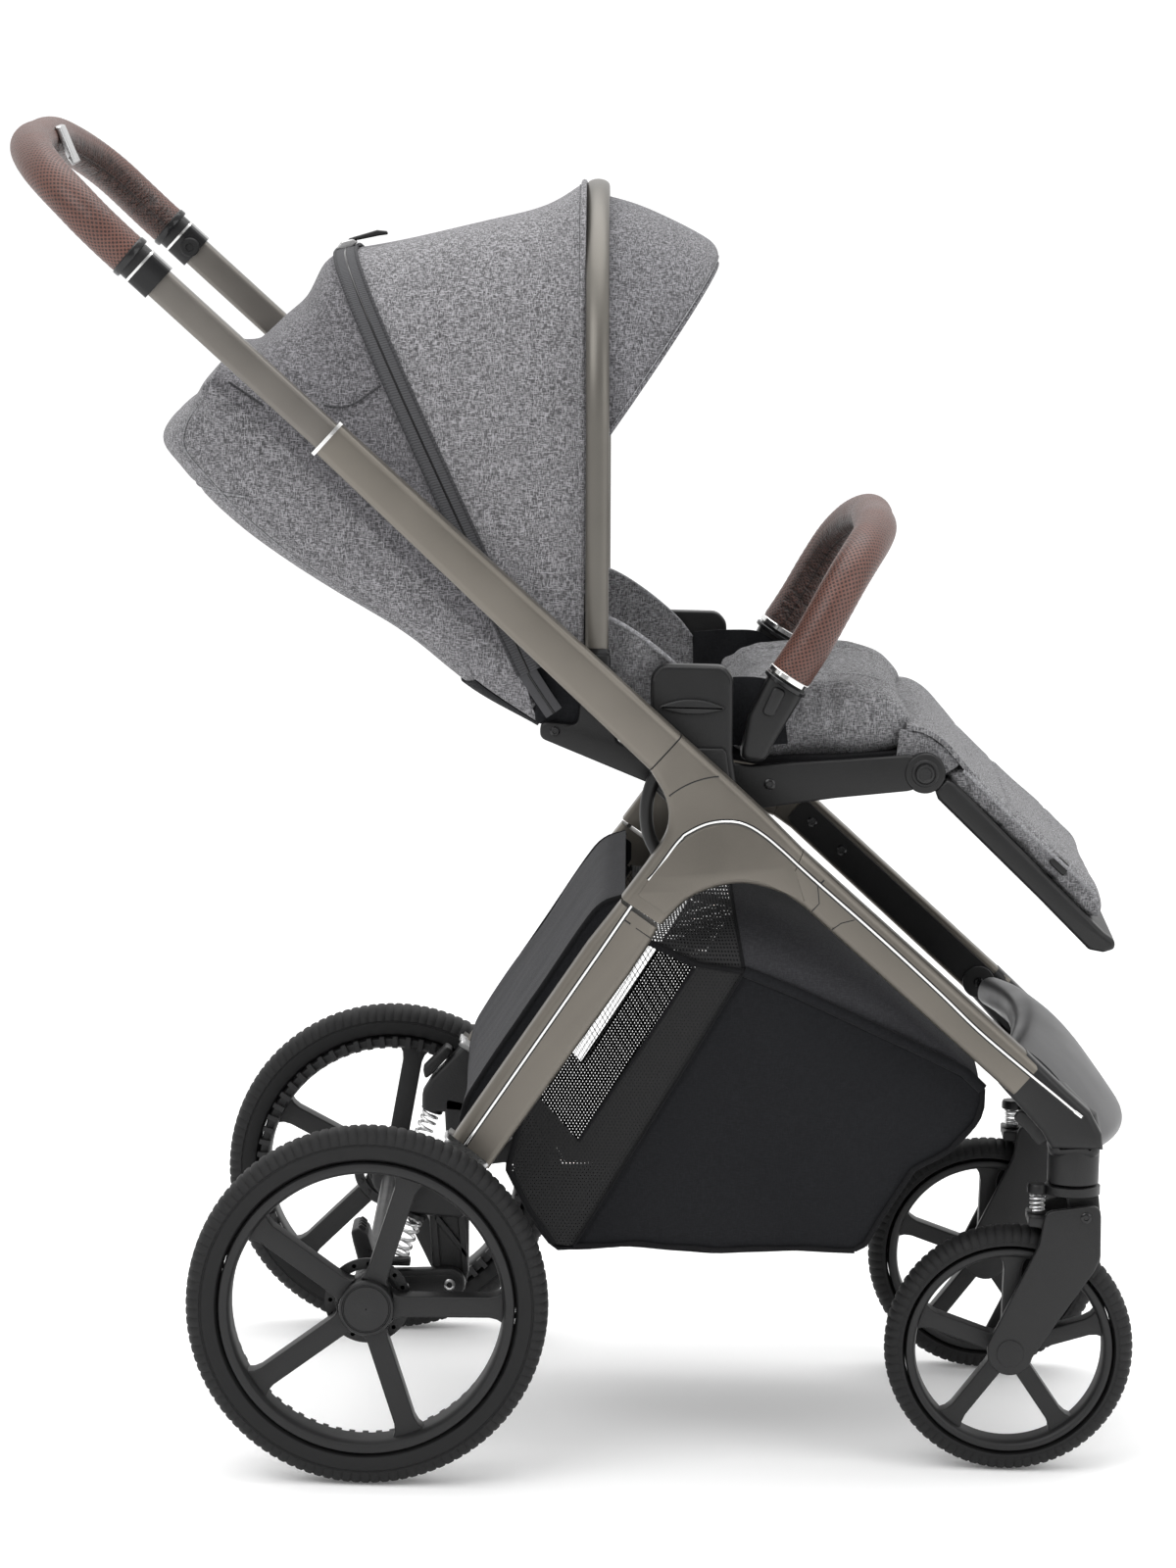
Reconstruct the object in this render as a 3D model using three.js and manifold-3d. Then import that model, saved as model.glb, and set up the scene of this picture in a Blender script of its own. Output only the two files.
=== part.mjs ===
// A full-size baby stroller: aluminium chassis with a swinging push bar, reclining seat, folding canopy,
// tilting leg rest, basket, sprung casters in front and a sprung axle behind.
// Millimetres. +X is forward, +Y is the stroller's left, +Z is up, and the wheels stand on z = 0.
import * as THREE from 'three';
import { mergeVertices } from 'three/addons/utils/BufferGeometryUtils.js';
import Module from 'manifold-3d';

const wasm = await Module();
wasm.setup();

// ---------------------------------------------------------------- driving dimensions
const GAP = 0.3; // clearance between pieces that touch
const ORIGIN_SHIFT = 33.5; // moves the drawing's x = 0 so that the origin is the middle of the length
const REAR_WHEEL = { x: -186.4, z: 145, y: 275.5, radius: 145, width: 42, opening: 108.5, seat: 119 };
const FRONT_WHEEL = { x: 333.3, z: 101.35, y: 178.2, radius: 101.35, width: 36, opening: 77, seat: 85 };
const FRAME_INNER = 203; // inner and outer faces of the chassis tubes, from the middle plane
const FRAME_OUTER = 229;
const FRAME_MIDDLE = (FRAME_INNER + FRAME_OUTER) / 2;
const BAR_TOP = { x: -361.7, z: 962.6 }; // upper end of the long bar's top edge, at the push-bar collar
const BAR_ANGLE = THREE.MathUtils.degToRad(41.2); // slope of the long bar that runs down to the front
const LEG_DEPTH = 33; // depth of the front leg's section, seen from the side
const SLEEVE_START = 183; // places along the long bar, from BAR_TOP
const FOLD_CUT = 550;
const LEG_CUT = 684;
const LEG_END = 945;
const LEG_INSET = 15; // how far each front leg leans in by its lower end
const SEAT_PIVOT = { x: 66, z: 562 };
const LEGREST_PIVOT = { x: 251, z: 570 };
const BOW_FOOT = { x: -15.5, z: 640 };
const SWIVEL_X = 381;
const CASTER_PIVOT = { x: 391, z: 215 };
const ARM_PIVOT = { x: -122, z: 152 };
const ARM_PIN = 5; // radius of the rear arms' pivot pins
const CANOPY_HALF = 180; // half width of the canopy cloth
const CLOTH = 3; // thickness of the plain cloth solids

// ---------------------------------------------------------------- materials
function finish(color, roughness, metalness) {
  return () => new THREE.MeshStandardMaterial({ color, roughness, metalness });
}
const gunmetal = finish(0x5a564f, 0.38, 0.85);
const blackPlastic = finish(0x1b1b1d, 0.55, 0.0);
const satinGrey = finish(0x2d2e30, 0.45, 0.1);
const chrome = finish(0xd8d8d6, 0.12, 1.0);
const springSteel = finish(0xe3e3e1, 0.35, 0.6);
const rubber = finish(0x222222, 0.85, 0.0);
const leather = finish(0x3d2422, 0.55, 0.0);
const greyCloth = finish(0x6d6e70, 0.95, 0.0);
const darkCloth = finish(0x26282b, 0.9, 0.0);

// ---------------------------------------------------------------- making solids
const stroller = new THREE.Group();
stroller.position.x = ORIGIN_SHIFT;

function toSolid(geometry) {
  const bare = geometry.clone();
  bare.deleteAttribute('normal');
  bare.deleteAttribute('uv');
  const merged = mergeVertices(bare, 1e-4);
  const vertProperties = new Float32Array(merged.attributes.position.array);
  const triVerts = new Uint32Array(merged.index.array);
  return new wasm.Manifold(new wasm.Mesh({ numProp: 3, vertProperties, triVerts }));
}

function toGeometry(solid) {
  const mesh = solid.getMesh();
  const geometry = new THREE.BufferGeometry();
  geometry.setAttribute('position', new THREE.BufferAttribute(new Float32Array(mesh.vertProperties), 3));
  geometry.setIndex(new THREE.BufferAttribute(new Uint32Array(mesh.triVerts), 1));
  geometry.computeVertexNormals();
  return geometry;
}

function join(...geometries) {
  return toGeometry(geometries.map(toSolid).reduce((sum, next) => sum.add(next)));
}

function cut(geometry, ...tools) {
  return toGeometry(tools.map(toSolid).reduce((rest, tool) => rest.subtract(tool), toSolid(geometry)));
}

function add(name, geometry, material) {
  const mesh = new THREE.Mesh(geometry, material());
  mesh.name = name;
  stroller.add(mesh);
  return mesh;
}

// Adds a piece of the right side (-Y) and its mirror image on the left.
function addPair(name, geometry, material) {
  add(`${name}_right`, geometry, material);
  add(`${name}_left`, geometry, material).scale.y = -1;
}

function polygon(outline) {
  return new THREE.Shape(outline.map(([x, z]) => new THREE.Vector2(x, z)));
}

// A plate with the given x, z outline between two distances from the middle plane, on the right side.
function plate(outline, near, far, bevel = 0) {
  const shape = outline instanceof THREE.Shape ? outline : polygon(outline);
  const geometry = new THREE.ExtrudeGeometry(shape, {
    depth: far - near - 2 * bevel,
    curveSegments: 10,
    bevelEnabled: bevel > 0,
    bevelThickness: bevel,
    bevelSize: bevel,
    bevelOffset: -bevel,
    bevelSegments: 1,
  });
  return geometry.rotateX(Math.PI / 2).translate(0, -near - bevel, 0);
}

// A plate that spans the whole width, from -half to half.
function slab(outline, half, bevel = 0) {
  return plate(outline, -half, half, bevel);
}

// A cylinder along Y between two distances from the middle plane, on the right side.
function pin(center, radius, near, far, sides = 20) {
  const geometry = new THREE.CylinderGeometry(radius, radius, far - near, sides);
  return geometry.translate(center.x, -(near + far) / 2, center.z);
}

// A straight cylinder between two points.
function rod(from, to, radius, sides = 14) {
  const a = new THREE.Vector3(...from);
  const b = new THREE.Vector3(...to);
  const geometry = new THREE.CylinderGeometry(radius, radius, a.distanceTo(b), sides);
  const turn = new THREE.Quaternion().setFromUnitVectors(new THREE.Vector3(0, 1, 0), b.clone().sub(a).normalize());
  return geometry.applyQuaternion(turn).translate((a.x + b.x) / 2, (a.y + b.y) / 2, (a.z + b.z) / 2);
}

// An oval rod bent along a smooth curve: halfWidth lies along the curve's first normal.
function bent(points, halfWidth, halfDepth, steps, sides = 12) {
  const path = new THREE.CatmullRomCurve3(points.map((p) => new THREE.Vector3(...p)), false, 'centripetal');
  const section = new THREE.Shape();
  section.absellipse(0, 0, halfWidth, halfDepth, 0, 2 * Math.PI, false, 0);
  return new THREE.ExtrudeGeometry(section, { steps, extrudePath: path, curveSegments: sides / 2 });
}

// Points on the right half of a bow, completed by their mirror images.
function wholeBow(half) {
  const left = half.slice(0, -1).reverse();
  return [...half.map(([x, y, z]) => [x, -y, z]), ...left];
}

// The point at a distance along the long bar and above its top edge, as x, z.
function onBar(along, above) {
  const [c, s] = [Math.cos(BAR_ANGLE), Math.sin(BAR_ANGLE)];
  return [BAR_TOP.x + along * c + above * s, BAR_TOP.z - along * s + above * c];
}

// The outline round two circles, such as a lever's.
function linkOutline(a, radiusA, b, radiusB) {
  const heading = Math.atan2(b.z - a.z, b.x - a.x);
  const lean = Math.acos((radiusA - radiusB) / Math.hypot(b.x - a.x, b.z - a.z));
  const shape = new THREE.Shape();
  shape.absarc(a.x, a.z, radiusA, heading + lean, heading - lean + 2 * Math.PI, false);
  shape.absarc(b.x, b.z, radiusB, heading - lean, heading + lean, false);
  return shape;
}

// Points evenly spread on a smooth curve through x, z points.
function smooth(points, count) {
  const curve = new THREE.SplineCurve(points.map(([x, z]) => new THREE.Vector2(x, z)));
  return curve.getSpacedPoints(count).map((p) => [p.x, p.y]);
}

// A point on a smooth curve through x, z points, at 0 to 1 of its run.
function along(points, t) {
  const curve = new THREE.SplineCurve(points.map(([x, z]) => new THREE.Vector2(x, z)));
  return curve.getPoint(t);
}

// A cloth solid over arches. At each v an arch runs from the foot line on one side, over the crown
// line at the middle, to the other side. The skin grows inwards from that surface.
function archedSkin({ foot, crown, half, power, across, lengthwise, thickness }) {
  const surface = (u, v) => {
    const angle = (u - 0.5) * Math.PI;
    const side = Math.sign(Math.sin(angle)) * Math.abs(Math.sin(angle)) ** (2 / power);
    const rise = Math.abs(Math.cos(angle)) ** (2 / power);
    const low = along(foot, v);
    const high = along(crown, v);
    return new THREE.Vector3(low.x + (high.x - low.x) * rise, side * half, low.y + (high.y - low.y) * rise);
  };
  const geometry = new THREE.BoxGeometry(1, 1, 1, across, lengthwise, 1);
  const place = geometry.attributes.position;
  const step = 1e-3;
  for (let i = 0; i < place.count; i += 1) {
    const u = place.getX(i) + 0.5;
    const v = place.getY(i) + 0.5;
    const inside = place.getZ(i) + 0.5;
    const p = surface(u, v);
    const du = surface(Math.min(u + step, 1), v).sub(surface(Math.max(u - step, 0), v));
    const dv = surface(u, Math.min(v + step, 1)).sub(surface(u, Math.max(v - step, 0)));
    p.addScaledVector(du.cross(dv).normalize(), inside * thickness);
    place.setXYZ(i, p.x, p.y, p.z);
  }
  return geometry;
}

// ---------------------------------------------------------------- chassis
// The arched hub: top edge on the long bar's line, an arch below, and stubs for both legs.
function hubOutline() {
  const arch = [onBar(LEG_CUT + 13, -35.5), [123, 482], [107, 484.5], [92, 483], [76, 478], [60, 469], [41.5, 449.5]];
  const neck = [[9, 470.5], [29, 499], [41, 518], [45, 533], [42, 552], onBar(FOLD_CUT + GAP, -35)];
  const top = [onBar(FOLD_CUT + GAP, 2), onBar(LEG_CUT, 0)];
  return [...top, ...smooth(arch, 14), ...smooth(neck, 10)];
}

// Leans a piece of the right side towards the middle plane, from the leg's cut to its lower end.
function leanIn(geometry) {
  const place = geometry.attributes.position;
  const [startX] = onBar(LEG_CUT, 0);
  const [endX] = onBar(LEG_END, 0);
  for (let i = 0; i < place.count; i += 1) {
    const share = THREE.MathUtils.clamp((place.getX(i) - startX) / (endX - startX), 0, 1);
    place.setY(i, place.getY(i) + LEG_INSET * share);
  }
  return geometry;
}

const legOutline = [
  onBar(LEG_CUT + 2 * GAP, 0),
  onBar(LEG_END, 0),
  onBar(LEG_END, -LEG_DEPTH),
  onBar(LEG_CUT + 31, -LEG_DEPTH),
  onBar(LEG_CUT + 13 + 2 * GAP, -35.2),
];
addPair('hub', plate(hubOutline(), FRAME_INNER, FRAME_OUTER, 3), gunmetal);
addPair('front_leg', leanIn(plate(legOutline, FRAME_INNER, FRAME_OUTER, 3)), gunmetal);

// The cap on each front leg's end, with the socket that the caster turns in.
const [CAP_TOP_X, CAP_TOP_Z] = onBar(LEG_END + GAP, 0);
const [CAP_LOW_X, CAP_LOW_Z] = onBar(LEG_END + GAP, -LEG_DEPTH);
const capOutline = [
  [CAP_TOP_X, CAP_TOP_Z], [368, 324], [388, 304], [401, 281], [403, 238],
  [359, 238], [359, 272], [350, 290], [CAP_LOW_X, CAP_LOW_Z],
];
addPair('caster_socket', plate(capOutline, 158.5, 213.5, 3), blackPlastic);

// The bridge across the front, bowed forward at the middle.
const BRIDGE_HALF = 158;
const BRIDGE_BOW = 24;
function bridge() {
  const outline = [
    [340, 349], [352, 354], [366, 346], [381, 334], [396, 318], [412, 297], [425, 279], [432, 268], [432, 260],
    [425, 255], [414, 258], [404, 270], [391, 287], [374, 304], [355, 320], [338, 332],
  ];
  const shaping = { depth: 2 * BRIDGE_HALF, steps: 10, bevelEnabled: false };
  const geometry = new THREE.ExtrudeGeometry(polygon(outline), shaping);
  geometry.rotateX(Math.PI / 2).translate(0, BRIDGE_HALF, 0);
  const place = geometry.attributes.position;
  for (let i = 0; i < place.count; i += 1) {
    place.setX(i, place.getX(i) - BRIDGE_BOW * (place.getY(i) / BRIDGE_HALF) ** 2);
  }
  return geometry;
}
add('front_bridge', bridge(), satinGrey);

// ---------------------------------------------------------------- push bar
// A tapered sleeve with a bore for the inner tube, open at its upper end.
const BORE_END = 546;
function sleeve() {
  const outline = [onBar(SLEEVE_START, 2), onBar(FOLD_CUT, 2), onBar(FOLD_CUT, -35), onBar(SLEEVE_START, -28)];
  const boreStart = SLEEVE_START - 5;
  const bore = [onBar(boreStart, GAP), onBar(BORE_END, GAP), onBar(BORE_END, -25.8), onBar(boreStart, -25.8)];
  return cut(plate(outline, FRAME_INNER, FRAME_OUTER, 3), plate(bore, FRAME_INNER + 2.6, FRAME_OUTER - 2.6));
}
addPair('handle_sleeve', sleeve(), gunmetal);

const INNER_TUBE_END = 372;
const tubeOutline = [onBar(0, 0), onBar(INNER_TUBE_END, 0), onBar(INNER_TUBE_END, -25.5), onBar(0, -25.5)];
const collarOutline = [onBar(-27, 2.5), onBar(1, 2.5), onBar(1, -28), onBar(-27, -28)];
const innerTube = join(
  plate(tubeOutline, FRAME_INNER + 2.9, FRAME_OUTER - 2.9, 2),
  plate(collarOutline, FRAME_INNER - 1, FRAME_OUTER + 1, 3),
);
addPair('handle_tube', innerTube, gunmetal);

// The leather grip: a U that rises from both collars and crosses behind the seat.
const GRIP_RADIUS = 17;
const GRIP_MIDDLE = { x: -484.5, z: 1053.5 };
const [GRIP_X, GRIP_Z] = onBar(-27 - GAP, -12.7);
const gripHalf = [
  [GRIP_X, FRAME_MIDDLE, GRIP_Z], [-406, 216, 984.5], [-423, 215, 1000], [-440, 208, 1016], [-455, 193, 1029],
  [-467, 170, 1039], [-476, 140, 1046.5], [-482, 105, 1051.5], [GRIP_MIDDLE.x, 60, GRIP_MIDDLE.z],
  [GRIP_MIDDLE.x, 0, GRIP_MIDDLE.z],
];
add('handle_grip', bent(wholeBow(gripHalf), GRIP_RADIUS, GRIP_RADIUS, 36), leather);

// The lever that frees the telescoping tubes, in front of the grip's middle.
const releaseOutline = [
  [-466, 1066], [-460, 1052], [-453.5, 1037.5], [-456.5, 1033.5], [-464.5, 1039], [-472, 1048], [-472, 1064],
];
const gripClearance = new THREE.CylinderGeometry(GRIP_RADIUS + 1, GRIP_RADIUS + 1, 80, 24)
  .translate(GRIP_MIDDLE.x, 0, GRIP_MIDDLE.z);
add('handle_release', cut(slab(releaseOutline, 27), gripClearance), chrome);

// ---------------------------------------------------------------- rear legs and axle
const rearLegOutline = [[8.5, 467], [38.5, 446.5], [34, 437], [17, 409], [-92.5, 247], [-123.5, 269.5], [-17, 433]];
addPair('rear_leg', plate(rearLegOutline, FRAME_INNER, FRAME_OUTER, 3), gunmetal);

// Each rear leg ends in a cast bracket with a thin cheek that reaches down to the arm's pivot.
const bracketHead = [[-123.8, 268.9], [-152, 238], [-160, 224], [-160, 209], [-112, 206], [-93, 246.2]];
const bracketCheek = [
  [-141, 222], [-137, 165], [-133, 143], [-122, 139], [-110, 144], [-107, 160], [-108, 215],
];
const bracket = cut(
  join(plate(bracketHead, FRAME_INNER, FRAME_OUTER, 2), plate(bracketCheek, FRAME_INNER, 214)),
  pin(ARM_PIVOT, ARM_PIN + GAP, FRAME_INNER - 5, 220, 16),
);
addPair('rear_bracket', bracket, blackPlastic);

// The sprung axle beam: one arm on each side, their pivot pins, and the axle through both.
const axle = { x: REAR_WHEEL.x, z: REAR_WHEEL.z };
const AXLE_RADIUS = 8;
const armParts = [-1, 1].flatMap((side) => {
  const arm = plate(linkOutline(ARM_PIVOT, 13, axle, 17), 214.4, 228.6);
  const pivot = pin(ARM_PIVOT, ARM_PIN, FRAME_INNER - 2, 216, 16);
  return [arm, pivot].map((geometry) => (side < 0 ? geometry : mirrored(geometry)));
});
const axleBeam = join(pin(axle, AXLE_RADIUS, -294, 294, 18), ...armParts);
add('rear_axle', axleBeam, blackPlastic);

// A mirror image across the middle plane, with its faces turned out again.
function mirrored(geometry) {
  const copy = (geometry.index ? geometry.toNonIndexed() : geometry.clone()).scale(1, -1, 1);
  const place = copy.attributes.position;
  const corner = new THREE.Vector3();
  const other = new THREE.Vector3();
  for (let i = 0; i < place.count; i += 3) {
    corner.fromBufferAttribute(place, i + 1);
    other.fromBufferAttribute(place, i + 2);
    place.setXYZ(i + 1, other.x, other.y, other.z);
    place.setXYZ(i + 2, corner.x, corner.y, corner.z);
  }
  return copy;
}

addPair('rear_spring', rod([-152, -221.7, 205.5], [-164, -221.7, 171.5], 6.5), springSteel);

// The brake pedal turns on the axle, inside the right wheel.
const PEDAL_IN = 150;
const PEDAL_OUT = 198;
const pedalPlate = [[-194, 150], [-202, 178], [-204, 187], [-198, 190], [-190, 184], [-179, 150]];
const pedal = cut(
  join(pin(axle, 14, PEDAL_IN, PEDAL_OUT, 18), plate(pedalPlate, PEDAL_IN, PEDAL_OUT)),
  pin(axle, AXLE_RADIUS + GAP, PEDAL_IN - 5, PEDAL_OUT + 5, 18),
);
add('brake_pedal', pedal, blackPlastic);

// ---------------------------------------------------------------- wheels
// A closed ring about the axle from its half profile of radius, offset points.
function ring(profile, sides) {
  const loop = [...profile, profile[0]].reverse().map(([r, y]) => new THREE.Vector2(r, y));
  return new THREE.LatheGeometry(loop, sides);
}

function wheel({ radius, width, opening, seat }, hubRadius, boreRadius, spokeWidth, phase, sides) {
  const half = width / 2;
  const tyre = ring([
    [seat, -half + 6], [seat, half - 6], [radius - 7, half], [radius, half - 9], [radius, -half + 9], [radius - 7, -half],
  ], sides);
  const band = ring([
    [opening, -half + 8], [opening, half - 8], [seat - GAP, half - 6], [seat - GAP, -half + 6],
  ], sides);
  const hub = ring([[boreRadius, -half], [boreRadius, half], [hubRadius, half], [hubRadius, -half]], 20);
  const spokes = [0, 1, 2, 3, 4].map((i) => {
    const inner = boreRadius + 3;
    const spoke = new THREE.BoxGeometry(opening + 2 - inner, width * 0.55, spokeWidth);
    return spoke.translate((opening + 2 + inner) / 2, 0, 0).rotateY(-(phase + i * 72) * Math.PI / 180);
  });
  return { tyre, rim: join(band, hub, ...spokes) };
}

function addWheel(name, place, side, { tyre, rim }) {
  for (const [piece, geometry, material] of [['tyre', tyre, rubber], ['rim', rim, blackPlastic]]) {
    const mesh = add(`${name}_${piece}_${side < 0 ? 'right' : 'left'}`, geometry, material);
    mesh.position.set(place.x, side * place.y, place.z);
  }
}

const BOLT_RADIUS = 5;
for (const [side, rearPhase] of [[-1, 1], [1, 9]]) {
  addWheel('rear', REAR_WHEEL, side, wheel(REAR_WHEEL, 22, AXLE_RADIUS + GAP, 17, rearPhase, 36));
  addWheel('front', FRONT_WHEEL, side, wheel(FRONT_WHEEL, 14, BOLT_RADIUS + GAP, 14, 17, 30));
}

// ---------------------------------------------------------------- casters
const casterMiddle = FRONT_WHEEL.y;
const swivelPlate = new THREE.CylinderGeometry(23, 23, 8.5, 20)
  .rotateX(Math.PI / 2)
  .translate(SWIVEL_X, -casterMiddle, 233.4);
const lugOutline = [[374, 230], [374, 206], [383, 203], [400, 203], [402, 215], [402, 230]];
const swivelLug = plate(lugOutline, casterMiddle - 9, casterMiddle + 9);
const seatOutline = [[344, 237], [344, 230], [364, 229.2], [364, 237]];
const springSeat = plate(seatOutline, casterMiddle - 10, casterMiddle + 10);
const casterHead = cut(
  join(swivelPlate, swivelLug, springSeat),
  pin(CASTER_PIVOT, BOLT_RADIUS + GAP, casterMiddle - 20, casterMiddle + 20, 16),
);
addPair('caster_head', casterHead, blackPlastic);

// The fork: a cheek on each side of the wheel, a bridge over the tyre, the pivot bolt and the axle.
function forkCheek(near, far) {
  const outline = new THREE.Shape();
  outline.moveTo(358, 219);
  outline.lineTo(403, 226);
  outline.lineTo(404, 182);
  outline.lineTo(399, 170);
  outline.absarc(FRONT_WHEEL.x, FRONT_WHEEL.z, 18.5, -0.55, -Math.PI * 1.18, true);
  outline.lineTo(354, 192);
  return plate(outline, near, far);
}
const CHEEK_IN = 20.5;
const CHEEK_OUT = 28;
const BRIDGE_REACH = CHEEK_IN + 2;
const forkBridgeOutline = [[345, 213], [345, 205], [372, 202], [372, 211]];
const forkBridge = plate(forkBridgeOutline, casterMiddle - BRIDGE_REACH, casterMiddle + BRIDGE_REACH);
const fork = join(
  forkCheek(casterMiddle + CHEEK_IN, casterMiddle + CHEEK_OUT),
  forkCheek(casterMiddle - CHEEK_OUT, casterMiddle - CHEEK_IN),
  forkBridge,
  pin(CASTER_PIVOT, BOLT_RADIUS, casterMiddle - CHEEK_OUT + 1, casterMiddle + CHEEK_OUT - 1, 16),
  pin(FRONT_WHEEL, BOLT_RADIUS, casterMiddle - CHEEK_OUT + 1, casterMiddle + CHEEK_OUT - 1, 16),
);
addPair('fork', fork, blackPlastic);
addPair('caster_spring', rod([353, -casterMiddle, 213.6], [353, -casterMiddle, 228.7], 6), springSteel);

// ---------------------------------------------------------------- seat
const ADAPTER_IN = 183;
const adapterOutline = [
  [31, 556], [28, 575], [28, 647], [36, 656], [86, 656], [94, 647], [95, 585], [100, 553], [96, 538], [50, 538],
];
const adapterLug = [[40, 536], [98, 536], [98, 560], [78, 576], [62, 590], [40, 590]];
const adapter = join(plate(adapterOutline, ADAPTER_IN, 198, 3), plate(adapterLug, 195, FRAME_INNER - GAP));
addPair('adapter', adapter, blackPlastic);
const latchOutline = [[34, 619], [37, 628], [84, 627], [88, 620], [84, 617], [38, 616]];
addPair('adapter_release', plate(latchOutline, 198 + GAP, 202.3), blackPlastic);

const RAIL_IN = 166;
const RAIL_OUT = 174;
function seatRail() {
  const outline = [[72, 577], [110, 573], [180, 579], [246, 585], [246, 556], [180, 548], [119, 538], [72, 547]];
  const bar = plate(outline, RAIL_IN, RAIL_OUT);
  const joints = [pin(SEAT_PIVOT, 19, RAIL_IN, RAIL_OUT, 24), pin(LEGREST_PIVOT, 16.5, RAIL_IN, RAIL_OUT, 24)];
  return cut(join(bar, ...joints), pin(LEGREST_PIVOT, 8 + GAP, RAIL_IN - 3, RAIL_OUT + 3, 18));
}
const seatCrossTube = pin({ x: 205, z: 562 }, 7, -RAIL_IN - 2, RAIL_IN + 2, 12);
add('seat_frame', join(seatRail(), mirrored(seatRail()), seatCrossTube), blackPlastic);

const padOutline = [
  [82, 592], [80, 616], [90, 628], [112, 634], [150, 637], [195, 637.5], [228, 630], [242, 616], [247, 601],
  [243, 592], [200, 583], [110, 580],
];
add('seat_cushion', slab(padOutline, 160, 6), greyCloth);

// ---------------------------------------------------------------- backrest
const BACK_ARM_IN = 174.5;
const BACK_ARM_OUT = 182.4;
const backArmOutline = [
  [66, 578], [66, 546], [27, 558], [-60, 592], [-60, 606], [-30, 603], [-26, 648], [-4, 648], [2, 590],
];
const backArm = join(
  plate(backArmOutline, BACK_ARM_IN, BACK_ARM_OUT),
  pin(SEAT_PIVOT, 17, BACK_ARM_IN, BACK_ARM_OUT, 24),
);
addPair('backrest_arm', backArm, blackPlastic);

const shellCrown = [
  [-64, 596], [-115, 628], [-167, 671], [-220, 706], [-275, 739], [-321, 769], [-355, 798], [-372, 816], [-369, 836],
  [-350, 856],
];
const shellFoot = [[-60, 612], [-130, 678], [-200, 742], [-270, 808], [-322, 862]];
const SHELL_THICK = 12;
add('back_shell', archedSkin({
  foot: shellFoot, crown: shellCrown, half: 172, power: 4, across: 14, lengthwise: 10, thickness: SHELL_THICK,
}), greyCloth);

const backPadOutline = [
  [-38, 614], [-50, 610], [-106, 649], [-158, 692], [-211, 727], [-266, 760], [-312, 790], [-340, 818], [-332, 828],
  [-302, 814], [-253, 781], [-198, 748], [-146, 714], [-90, 668], [-36, 624],
];
add('backrest_cushion', slab(backPadOutline, 138, 4), greyCloth);
add('recline_lever', slab([[-318, 742], [-282, 722], [-280, 727], [-302, 741], [-316, 750]], 32), blackPlastic);

// ---------------------------------------------------------------- leg rest
const LEGREST_HALF = 174;
const legrestBody = [
  [268, 572], [400, 447], [409, 438], [400, 427], [388, 429], [346, 470], [262, 549], [259, 560],
];
const legrestPocket = [[262, 586], [405, 449], [391, 436], [252, 567]];
function legrestFrame() {
  const tray = cut(slab(legrestBody, LEGREST_HALF), slab(legrestPocket, 160));
  const clearance = [-1, 1].map((side) => {
    const round = pin(LEGREST_PIVOT, 19, RAIL_IN - 0.6, RAIL_OUT + 4, 24);
    return side < 0 ? round : mirrored(round);
  });
  const lugs = [-1, 1].map((side) => {
    const lug = plate(linkOutline(LEGREST_PIVOT, 15, { x: 285, z: 543 }, 13), 154, RAIL_IN - GAP);
    return side < 0 ? lug : mirrored(lug);
  });
  return join(cut(tray, ...clearance), ...lugs);
}
add('legrest_frame', legrestFrame(), blackPlastic);
const legrestPadOutline = [
  [266, 570], [272, 575], [281, 570], [319, 534], [363, 494.5], [394, 467], [400, 457], [396, 450], [387, 444.5],
  [280, 546.5], [268, 558],
];
add('legrest_cushion', slab(legrestPadOutline, 150, 4), greyCloth);
addPair('legrest_button', pin(LEGREST_PIVOT, 8, RAIL_OUT - 4, RAIL_OUT + 6, 18), blackPlastic);

// ---------------------------------------------------------------- bumper bar
const BUMPER_RADIUS = 17;
const bumperHalf = [
  [139, 175, 645], [155, 174.5, 671], [170, 170, 699], [184, 157, 724], [196, 132, 741], [205, 98, 751],
  [210, 55, 756], [210, 0, 756],
];
const socketOutline = [[100, 578], [121, 577], [128, 592], [155, 640], [127, 656], [107, 615]];
const bumperButton = { x: 127, z: 627 };
const bumperSocket = cut(
  plate(socketOutline, 163, 187, 2),
  pin(bumperButton, 8 + GAP, 170, 190, 16),
);
const bumper = join(
  bent(wholeBow(bumperHalf), BUMPER_RADIUS, BUMPER_RADIUS, 30),
  bumperSocket,
  mirrored(bumperSocket),
);
add('bumper_bar', bumper, leather);
addPair('bumper_button', pin(bumperButton, 8, 178, 189.5, 16), blackPlastic);

// ---------------------------------------------------------------- canopy
const BOW_HALF = 191.5;
const BOW_TOP = 1031;
const BOW_SHOULDER = 842;
function bowPoints() {
  const legs = [
    [BOW_FOOT.x, BOW_HALF, BOW_FOOT.z],
    [BOW_FOOT.x - 2, BOW_HALF, 740],
    [BOW_FOOT.x - 4, BOW_HALF, BOW_SHOULDER],
  ];
  const arc = [20, 40, 60, 75, 90].map((degrees) => {
    const angle = THREE.MathUtils.degToRad(degrees);
    const rise = Math.sin(angle);
    return [BOW_FOOT.x - 4 - 4 * rise, BOW_HALF * Math.cos(angle), BOW_SHOULDER + (BOW_TOP - BOW_SHOULDER) * rise];
  });
  arc[arc.length - 1][1] = 0;
  return wholeBow([...legs, ...arc]);
}
add('canopy_bow', bent(bowPoints(), 5.5, 9.5, 30, 10), gunmetal);

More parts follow.
